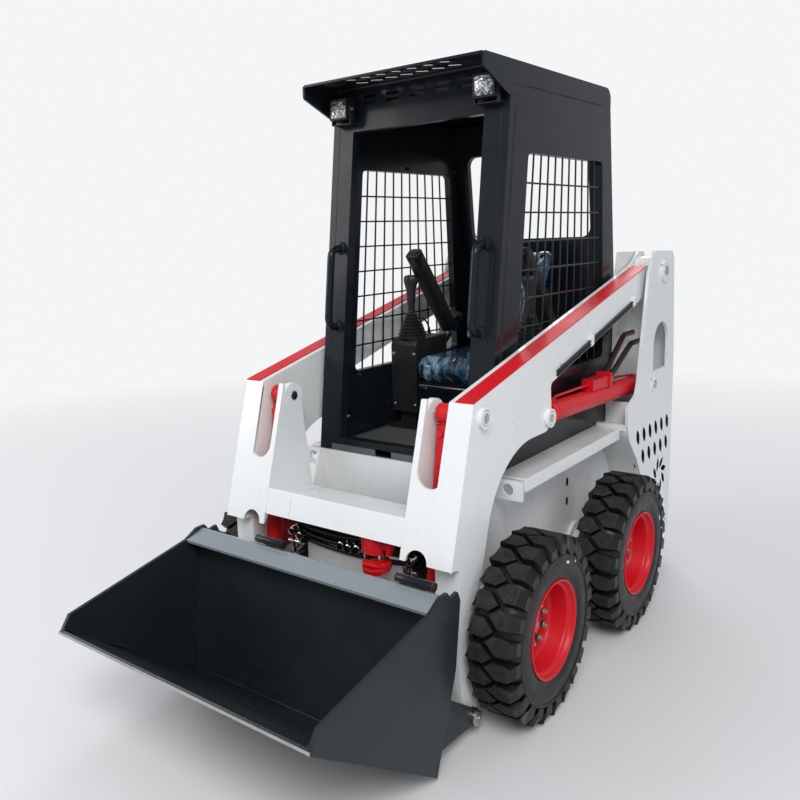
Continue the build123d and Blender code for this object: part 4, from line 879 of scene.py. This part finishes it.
def console_fittings(side, flip):
    """The control cables behind the lever, their fittings, and the console's screws."""
    fittings, cables = [], []
    for x, y in CABLE_STARTS:
        stub = turned("fitting", CABLE_STUB, 18)
        fittings.append(pointed(stub, at(x * flip, y, CONSOLE_TOP), (0.3 * flip, 0.1, 1)))
        route = ((x, y, 34), (x + 6, y + 6, 62), (x + 6, y + 40, 70), (x - 8, y + 66, 30), (x - 14, 717, -30))
        cables.append(tube("console_cable", [at(a * flip, b, CONSOLE_TOP + c) for a, b, c in route], 4.0))
    dressed(joined(f"console_fittings_{side}", fittings), "chassis", "steel", finish="chrome")
    dressed(joined(f"console_cables_{side}", cables), "chassis", "black_rubber", finish="hose")
    screws = [(x * flip, 490.2, z) for x in (216, 314) for z in (830, 1040)]
    bolted(f"console_screws_{side}", "chassis", 9, screws, (0, -1, 0))


for side, flip in SIDES:
    lever(side, flip)
    console_fittings(side, flip)


# Hydraulics: hoses, pipes and pins on the arms and cylinders
def refinish_hoses(skin):
    """The two hoses behind the lock valve are black; all else on the cylinder stays red."""
    dy, dz = LIFT_EYE[0] - LIFT_BASE[0], LIFT_EYE[1] - LIFT_BASE[1]
    length = math.hypot(dy, dz)

    def hose_face(c, n):
        y, z = c.y - FRONT_AXLE_Y - LIFT_BASE[0], c.z - LIFT_BASE[1]
        along, up = (y * dy + z * dz) / length, (y * -dz + z * dy) / length
        return along < 361.0 and abs(up) > 45.0 and abs(abs(c.x) - LIFT_X) > 4.4
    refinished(skin, "hose", hose_face)


def refinish_pipes(skin):
    """The two pipes along the arm are black between their painted clamps."""
    foot_y, foot_z = ARM_LOW[1]
    slope = (ARM_LOW[0][0] - foot_y, ARM_LOW[0][1] - foot_z)
    run = math.hypot(*slope)

    def pipe_face(c, n):
        y, z = c.y - FRONT_AXLE_Y - foot_y, c.z - foot_z
        off = (z * slope[0] - y * slope[1]) / run
        clear = all(abs(y + foot_y - clamp) > 14 for clamp in CLAMPS)
        return abs(c.x) > 463.0 and 5.0 < off < 31.0 and clear and 340 < y + foot_y < 1066
    refinished(skin, "hose", pipe_face)


GREASE_NIPPLE = [(0, 4.6), (4, 4.6), (4, 3.2), (8, 3.0), (9, 1.8), (11, 2.6), (12.6, 1.8), (13, 0)]
FERRULE = [(-4, 10), (-2, 12.4), (5, 12.4), (6, 13.6), (14, 13.6), (16, 12.2), (34, 12.6), (36, 11.4),
           (36, 10.6), (-4, 10)]
HINGE_WASHER = [(0, 14), (0, 24), (2.1, 24), (3, 22.8), (3, 14), (0, 14)]
LEG_STOP = [(-1, 9), (2, 9), (5, 7), (6.4, 3.4), (6.6, 0)]
TOWER_FACE = 492.0          # outer face of the rear tower
ARM_PIN_X = 472.0           # foot of the pin ends in the arm's bosses
HINGE_X = 488.0             # outer face of the bucket's hinge ears
# Weld beads round a cylinder's tube: distance from its pin, radius and width
LIFT_BEADS = ((882.0, 40.2, 7.0), (848.0, 40.6, 5.0), (45.0, 37.2, 7.0))
TILT_BEADS = ((38.0, 29.2, 6.0), (52.0, 28.9, 4.0), (672.0, 32.0, 5.0), (704.0, 31.6, 5.0))


def pin_end(r):
    """A turned pin end with its centre hole and chamfer."""
    return turned("pin", [(-6, r), (3.0, r), (4.6, r - 1.8), (4.6, 4.0), (2.2, 3.0), (0.8, 0)], 36)


def beads(name, body, start, along, table, steps):
    made = []
    for distance, r, wide in table:
        half = wide / 2
        ring = turned("ring", [(-half, r - 3), (-half, r - 0.8), (0, r), (half, r - 0.8), (half, r - 3),
                               (-half, r - 3)], steps)
        made.append(pointed(ring, start + along * distance / 1000.0, along))
    dressed(joined(name, made), body, "red_paint")


def arm_pins(side, flip):
    """Pin ends in the arm and the tower, and the tower's two grease nipples."""
    out = (flip, 0, 0)
    arm = [pointed(pin_end(15.4), at(ARM_PIN_X * flip, *place), out) for place in (TILT_TOP, LIFT_EYE)]
    dressed(joined(f"arm_pin_ends_{side}", arm), "arms", "steel")
    tower = [pointed(pin_end(r), at((TOWER_FACE + boss) * flip, *place), out)
             for r, boss, place in ((20.0, 9.5, PIVOT), (16.5, 5.5, LIFT_BASE))]
    dressed(joined(f"tower_pin_ends_{side}", tower), "chassis", "steel")
    nipple_x = (TOWER_FACE - 0.5) * flip
    nipples = [pointed(turned("nipple", GREASE_NIPPLE, 14), at(nipple_x, y, z), (flip, 0, 0.25))
               for y, z in ((1276, 1352), (1200, 884))]
    dressed(joined(f"tower_nipples_{side}", nipples), "chassis", "steel", finish="chrome")


def cylinder_fittings(side, flip):
    """Crimped ferrules on the lift cylinder's hoses, and the weld beads of both cylinders."""
    base = at(LIFT_X * flip, *LIFT_BASE)
    along = Vector((0, LIFT_EYE[0] - LIFT_BASE[0], LIFT_EYE[1] - LIFT_BASE[1])).normalized()
    up = Vector((0, along.z, -along.y))
    ferrules = []
    for x in (-15, 15):
        foot = base + along * 0.366 + up * 0.062 + Vector((x / 1000, 0, 0))
        ferrules.append(pointed(turned("ferrule", FERRULE, 24), foot - along * 0.002, -along + up * 0.12))
    dressed(joined(f"hose_ferrules_{side}", ferrules), f"lift_barrel_{side}", "steel", finish="chrome")
    beads(f"lift_weld_rings_{side}", f"lift_barrel_{side}", base, along, LIFT_BEADS, 48)
    top = at(TILT_X * flip, *TILT_TOP)
    along = Vector((0, ROD_PIN[0] - TILT_TOP[0], ROD_PIN[1] - TILT_TOP[1])).normalized()
    beads(f"tilt_weld_rings_{side}", f"tilt_barrel_{side}", top, along, TILT_BEADS, 40)


def arm_fittings(side, flip):
    """The bare label on the arm, the bucket's hinge pin with its washer, and the arm's leg stop."""
    out = (flip, 0, 0)
    low, high = (ARM_OUT * flip, 372, 1040), ((ARM_OUT + 1) * flip, 418, 1062)
    dressed(block(f"bare_label_{side}", low, high, 0.4, 1), "arms", "steel", finish="label")
    hinge = [pointed(turned("washer", HINGE_WASHER, 40), at(HINGE_X * flip, *HINGE), out),
             pointed(pin_end(12.5), at((HINGE_X + 0.5) * flip, *HINGE), out)]
    dressed(joined(f"hinge_pin_ends_{side}", hinge), "bucket", "steel")
    stop = pointed(turned("bump", LEG_STOP, 24), at(ARM_OUT * flip, -180, 187), out)
    dressed(joined(f"leg_stop_{side}", [stop]), "arms", "white_paint")


for side, flip in SIDES:
    refinish_hoses(SKINS[f"lift_barrel_{side}"])
    refinish_pipes(SKINS[f"arm_{side}"])
    arm_pins(side, flip)
    cylinder_fittings(side, flip)
    arm_fittings(side, flip)


# Under the front beam: hoses, their rail and cover, couplings and the quick coupler
COUPLING = [(0, 9), (6, 9), (7, 13), (20, 13), (22, 11), (24, 11), (25, 14.5), (44, 14.5), (46, 12), (52, 12),
            (53, 8), (53, 0)]
COUPLING_PLACES = ((-262, 512), (-246, 452), (-226, 500), (-40, 504), (-8, 501), (28, 505), (214, 436),
                   (240, 512))
DOME = [(-10, 20), (30, 20), (42, 17), (50, 10), (53, 0)]
DOME_STEM = [(0, 7), (24, 7), (25, 11), (36, 11), (37, 6), (52, 6), (54, 0)]
TEE_STEM = [(0, 6), (30, 6), (31, 9), (44, 9), (45, 6), (60, 6), (60, 0)]
TEE_BAR = [(-24, 0), (-24, 7.5), (-12, 7.5), (-11, 5.5), (11, 5.5), (12, 7.5), (24, 7.5), (24, 0)]
TEE_X, TEE_Y, TEE_Z = 246, -226, 430
STRAP = [(-8, 33.4), (-8, 35.4), (8, 35.4), (8, 33.4), (-8, 33.4)]
WHEEL_RIM = [(-5, 41), (-3, 45.4), (3, 45.4), (5, 41), (3, 38), (-3, 38), (-5, 41)]
SPOKES = 5


def front_hoses():
    """Three hoses that sag under the beam; the columns are their ends, height and sag."""
    hoses = []
    for x0, x1, z, sag in ((-262, 96, 508, 10), (-258, 236, 488, 12), (-250, 60, 528, 6)):
        route = ((x0, -186, z), (x0 + 60, -198, z - sag), ((x0 + x1) / 2, -204, z - sag * 1.4),
                 (x1 - 60, -198, z - sag), (x1, -184, z))
        hoses.append(tube("front_hose", [at(*place) for place in route], 8.5))
    dressed(joined("front_hoses", hoses), "arms", "black_rubber", finish="hose")


def hose_rail():
    """The dark angle that carries the hoses, with its two legs."""
    corners = (((-278, -178, 486), (276, -166, 598)), ((-278, -206, 588), (276, -166, 598)),
               ((-278, -178, 380), (-218, -166, 490)), ((196, -178, 380), (276, -166, 490)))
    rail = [block("rail", low, high, 2.0) for low, high in corners]
    dressed(joined("hose_rail", rail), "arms", "black_paint", finish="weld")


def sill_ledge():
    """The grey strip along the cab's sill, in three lengths, the middle one lower under the slot."""
    face = front_y(740)
    ledge = [block("sill_ledge", (x0, face - 1.6, z0), (x1, face + 0.6, z1), 0.5, 1) for x0, z0, x1, z1 in
             ((-300, 724, -98, 758), (-27, 724, 316, 758), (-98, 724, -27, 736))]
    dressed(joined("sill_ledge", ledge), "chassis", "black_paint", finish="sill_grey")


def hose_cover():
    """The white panel in front of the rail, its upper corners rounded."""
    outline = ((-214, 380), (-214, 462), (-210, 472), (-200, 480), (-190, 482),
               (178, 474), (188, 470), (192, 460), (192, 380))
    cover = panel("hose_cover", [(x, -194, z) for x, z in outline], (0, 8, 0))
    dressed(rounded(cover, 1.5, 3), "arms", "white_paint")


def front_fittings():
    """Hose couplings, the two valve domes and the tees beside them."""
    couplings = [pointed(turned("coupling", COUPLING, 28), at(x, -178, z), (0, -1, -0.12))
                 for x, z in COUPLING_PLACES]
    dressed(joined("front_couplings", couplings), "arms", "steel", finish="chrome")
    domes = []
    for x in (-248, 234):
        domes.append(pointed(turned("dome", DOME, 36), at(x, -214, 394), (0, 0, 1)))
        domes.append(pointed(turned("stem", DOME_STEM, 24), at(x, -214, 434), (0, 0, 1)))
    dressed(joined("valve_domes", domes), "arms", "black_plastic")
    tees = []
    for x in (-TEE_X, TEE_X):
        tees.append(pointed(turned("tee", TEE_STEM, 24), at(x, TEE_Y, TEE_Z), (0, 0, 1)))
        tees.append(pointed(turned("tee", TEE_BAR, 24), at(x, TEE_Y, TEE_Z + 44), (1, 0, 0)))
        tees.append(block("tee_foot", (x - 14, TEE_Y - 8, TEE_Z - 6), (x + 14, TEE_Y + 50, TEE_Z + 2), 1.5))
    dressed(joined("tee_fittings", tees), "arms", "steel", finish="chrome")


def coupler_wheel():
    """The quick coupler's bright strap, and its red hand wheel with spokes and rim."""
    coupler, tilt = at(152, -285, 598), (0, 0.24, 1)
    strap = pointed(turned("coupler_strap", STRAP, 48), coupler + Vector((0, 0, -0.062)), (0.1, 0, 1))
    spokes = []
    for i in range(SPOKES):
        a = math.tau * i / SPOKES
        route = [Vector((x, r * math.cos(a), r * math.sin(a))) for x, r in
                 ((0.0, 0.012), (0.002, 0.03), (0.0, 0.043))]
        spokes.append(tube("spoke", route, 4.0))
    star = pointed(joined("spokes", spokes), coupler + Vector((0.012, -0.008, -0.088)), tilt)
    dressed(star, "arms", "red_paint")
    dressed(strap, "arms", "steel", finish="chrome")
    rim = pointed(turned("hand_wheel_rim", WHEEL_RIM, 48), coupler + Vector((0.012, -0.008, -0.090)), tilt)
    dressed(rim, "arms", "red_paint")


def arm_welds():
    """Weld beads across the beam, beside the arms' ears and up the front covers."""
    seam = tube("beam_weld", [at(-176, y, z) for y, z in
                              ((-326.6, 600), (-315, 640), (-303, 682), (-200, 662))], 1.6)
    dressed(seam, "arms", "white_paint")
    routes = ((283.5, 2.6, ((-326, 601), (-303, 682), (-200, 662), (-100, 643))),
              (462.4, 1.2, ((-336, 560), (-270, 790), (-205, 1020))))
    seams = [tube("weld", [at(x * flip, y, z) for y, z in places], r)
             for flip in (-1, 1) for x, r, places in routes]
    dressed(joined("arm_welds", seams), "arms", "white_paint")


front_hoses()
hose_rail()
sill_ledge()
hose_cover()
front_fittings()
coupler_wheel()
arm_welds()


# Slots and vents of the chassis sides, the front covers and the rear towers
SIDE_HOLES = ((678, 551), (678, 473))


def slot_wall(c, n):
    """Whether a face belongs to the walls of the slots in the chassis side."""
    return 340 < abs(c.x) < 360.5 and abs(n.x) < 0.9 and any(
        abs(c.y - FRONT_AXLE_Y - y) < 11 and abs(c.z - z) < 18 for y, z in SIDE_HOLES)


# Painted shade: the slots' walls are made dark, and dark sheets close the slots a little inside the wall,
# where the chassis's inside falls in shade
refinished(SKINS["chassis_frame"], "black_rubber", slot_wall)
slot_shades =[block("slot_shade_sheet", (348 * flip - 1.5, y - 14, z - 20), (348 * flip + 1.5, y + 14, z + 20), 0.4, 1)
         for flip in (-1, 1) for y, z in SIDE_HOLES]
dressed(joined("side_slot_shade", slot_shades), "chassis", "black_rubber")


def slot_return(side, flip):
    """The folded return that closes the front cover against the arm, rounded with the slot's foot."""
    (foot_y, foot_z), (head_y, head_z) = COVER
    lean = (head_y - foot_y) / (head_z - foot_z)
    edge = [(380, 1018), (398.4, 1018), (398.4, 822), (395.6, 806), (389.4, 794), (380, 784.6)]
    outline = [(x * flip, foot_y + lean * (z - foot_z) + 0.5, z) for x, z in edge]
    fold = panel(f"slot_return_{side}", outline, (0, 9, 0))
    dressed(rounded(fold, 0.8), "arms", "white_paint")


def tower_vent_shade(side, flip):
    """Painted shade: dark sheets behind the tower's vents, whose walls are painted dark too, where the
    tower's inside falls in shade.
    """
    shapes = (((1060, 706), (1476, 706), (1480, 526), (1080, 526)),
              ((1262, 524), (1480, 524), (1484, 330), (1262, 330)))
    sheets = [panel("vent_shade_sheet", [(476.5 * flip, y, z) for y, z in shape], (2 * flip, 0, 0)) for shape in shapes]
    dressed(joined(f"tower_vent_shade_{side}", sheets), "chassis", "black_rubber")
    # Painted shade: the vents' walls get a dark finish for the shade inside the tower
    refinished(SKINS[f"rear_tower_{side}"], "black_rubber", lambda c, n: 479 < abs(c.x) < 493
               and abs(n.x) < 0.6 and 1040 < c.y - FRONT_AXLE_Y < 1470 and 345 < c.z < 700)


for side, flip in SIDES:
    slot_return(side, flip)
    tower_vent_shade(side, flip)


# Bucket: welds, gussets, the bright worn lip and the lock hooks
WELD_X, GUSSET_X, BEAD_R = 489, 489.5, 3.4
HOOK = [(-60, 0), (-60, 12.2), (-58, 13.2), (-20, 13.2), (-19, 14.2), (-12, 14.2), (-11, 13.2), (58, 13.2),
        (60, 12.2), (60, 0)]


def bucket_welds():
    routes = [[(x, y, z) for y, z in places] for places in
              (((-990, 392), (-760, 222), (-500, 34)), ((-498, 42), (-468, 250), (-441, 524)))
              for x in (-WELD_X, WELD_X)]
    routes.append([(x, -499, 41) for x in (-488, 0, 488)])
    welds = [tube("weld", [at(*place) for place in route], BEAD_R) for route in routes]
    dressed(joined("bucket_welds", welds), "bucket", "bucket_paint")


def bucket_gussets():
    gussets = [rounded(panel("gusset", [(GUSSET_X * flip, y, z) for y, z in
                                        ((-434, 524), (-444, 430), (-498, 508))], (-5 * flip, 0, 0)), 0.8)
               for flip in (-1, 1)]
    dressed(joined("bucket_gussets", gussets), "bucket", "bucket_paint")


bucket_welds()
bucket_gussets()
refinished(SKINS["bucket_shell"], "flange_paint",
           lambda c, n: c.z > 500 and -512 < c.y - FRONT_AXLE_Y < -424 and abs(c.x) < 489)
refinished(SKINS["bucket_shell"], "zinc", lambda c, n: c.y - FRONT_AXLE_Y < -995.5 and abs(c.x) < 503)
hooks = [pointed(turned("hook", HOOK, 32), at(x, -425, 554), (1, 0, 0)) for x in (-163.5, 401)]
dressed(joined("lock_hooks", hooks), "bucket", "bucket_paint", finish="black_paint")


# Rear: door latch, the bars behind the door's slots, and bolts
latch = [block("latch_plate", (222, 1499.5, 742), (262, 1502.5, 862), 2.0),
         block("latch_grip", (234, 1502, 762), (250, 1514, 842), 5.0, 3)]
dressed(joined("door_latch", latch), "rear_door", "steel", finish="black_plastic")
BAR_ROWS, BAR_PITCH, BAR_FOOT = 8, 52.0, 640.0
slat = block("slat", (-2, 1491, 0), (2, 1493, 20), 0.4, 1)
bars = [placed(copy_of(slat, "slat"), (x / 1000, 0, (BAR_FOOT + BAR_PITCH * i) / 1000))
        for i in range(BAR_ROWS) for x in range(-180, 181, 24)]
bpy.data.objects.remove(slat)
dressed(joined("door_screen", bars), "rear_door", "black_paint")
door_bolts = [(x, 1500, z) for x in (-318, 318) for z in (300, 620, 940, 1222)]
bolted("door_bolts", "rear_door", 12, door_bolts, (0, 1, 0), "steel", "weld")
hood_bolts = [(x, y, 1290) for x in (-322, 322) for y in (1150, 1280, 1412)]
bolted("hood_bolts", "chassis", 12, hood_bolts, (0, 0, 1), "steel", "weld")
bumper_bolts = [(x, 1511, 192) for x in (-420, -390, 390, 420)]
bolted("bumper_bolts", "chassis", 10, bumper_bolts, (0, 1, 0))
nose_bolts = [(x * flip, y, z) for x, y, z in
              ((300, -66, 300), (300, -64, 390), (120, -66, 300), (120, -64, 390)) for flip in (1, -1)]
bolted("nose_bolts", "chassis", 14, nose_bolts, (0, -1, 0.05))


# Floor, lamps and camera
BACKDROP = (0.90, 0.915, 0.93, 1)
bpy.ops.object.select_all(action="DESELECT")
bpy.ops.mesh.primitive_plane_add(size=80, location=(0, 0, 0))
floor = bpy.context.object
floor.name = "studio_floor"
# The floor fades into the backdrop's colour with its distance from the middle
ground = Finish("pale_floor", (0.74, 0.745, 0.75), 0.8)
ground.bump(ground.noise(90.0, 4.0), 0.12, 0.001)
spread = ground.node("ShaderNodeVectorMath", [(0, ground.place)], operation="LENGTH").outputs["Value"]
seen = ground.node("ShaderNodeLightPath").outputs["Is Camera Ray"]
far = ground.sum(ground.ramp(spread, 1.7, 6.5), seen, "MULTIPLY")
haze = ground.node("ShaderNodeEmission", [("Color", BACKDROP), ("Strength", 1.0)]).outputs[0]
fade = ground.node("ShaderNodeMixShader", [(0, far), (1, ground.shader.outputs[0]), (2, haze)]).outputs[0]
ground.tree.links.new(fade, ground.tree.nodes["Material Output"].inputs["Surface"])
floor.data.materials.append(ground.material)


def area_lamp(name, place, target, size, power):
    bpy.ops.object.light_add(type="AREA", location=place)
    lamp = bpy.context.object
    lamp.name = name
    lamp.data.shape = "DISK"
    lamp.data.size, lamp.data.energy = size, power
    lamp.rotation_euler = (Vector(target) - Vector(place)).to_track_quat("-Z", "Y").to_euler()


area_lamp("key_lamp", (3.4, -4.4, 5.6), (0, 0, 0.8), 3.4, 300)
area_lamp("fill_lamp", (-5.0, -3.4, 3.4), (0, 0, 0.8), 4.0, 135)
area_lamp("rim_lamp", (-2.0, 5.5, 4.8), (0, 0, 1.0), 3.0, 75)

# The world lights softly, and shows the backdrop's colour to the camera and through clear parts
world = bpy.data.worlds.new("studio")
bpy.context.scene.world = world
world.use_nodes = True
sky = world.node_tree
soft = sky.nodes["Background"]
soft.inputs["Color"].default_value = (0.93, 0.95, 1.0, 1)
soft.inputs["Strength"].default_value = 0.55
shown = sky.nodes.new("ShaderNodeBackground")
shown.inputs["Color"].default_value = BACKDROP
shown.inputs["Strength"].default_value = 1.0
path = sky.nodes.new("ShaderNodeLightPath")
seen = sky.nodes.new("ShaderNodeMath")
seen.operation = "MAXIMUM"
sky.links.new(path.outputs["Is Camera Ray"], seen.inputs[0])
sky.links.new(path.outputs["Is Transmission Ray"], seen.inputs[1])
mixed = sky.nodes.new("ShaderNodeMixShader")
sky.links.new(seen.outputs[0], mixed.inputs["Fac"])
sky.links.new(soft.outputs[0], mixed.inputs[1])
sky.links.new(shown.outputs[0], mixed.inputs[2])
sky.links.new(mixed.outputs[0], sky.nodes["World Output"].inputs["Surface"])
bpy.context.scene.view_settings.view_transform = "Standard"

CAMERA_PLACE, CAMERA_TURN = (1.6121, -2.4354, 1.5009), (78.927, 2.167, 38.824)
bpy.ops.object.camera_add(location=CAMERA_PLACE, rotation=[math.radians(a) for a in CAMERA_TURN])
camera = bpy.context.object
camera.data.lens, camera.data.sensor_width = 36.365, 36.0
camera.data.shift_x, camera.data.shift_y = 0.0651, -0.0023
bpy.context.scene.camera = camera
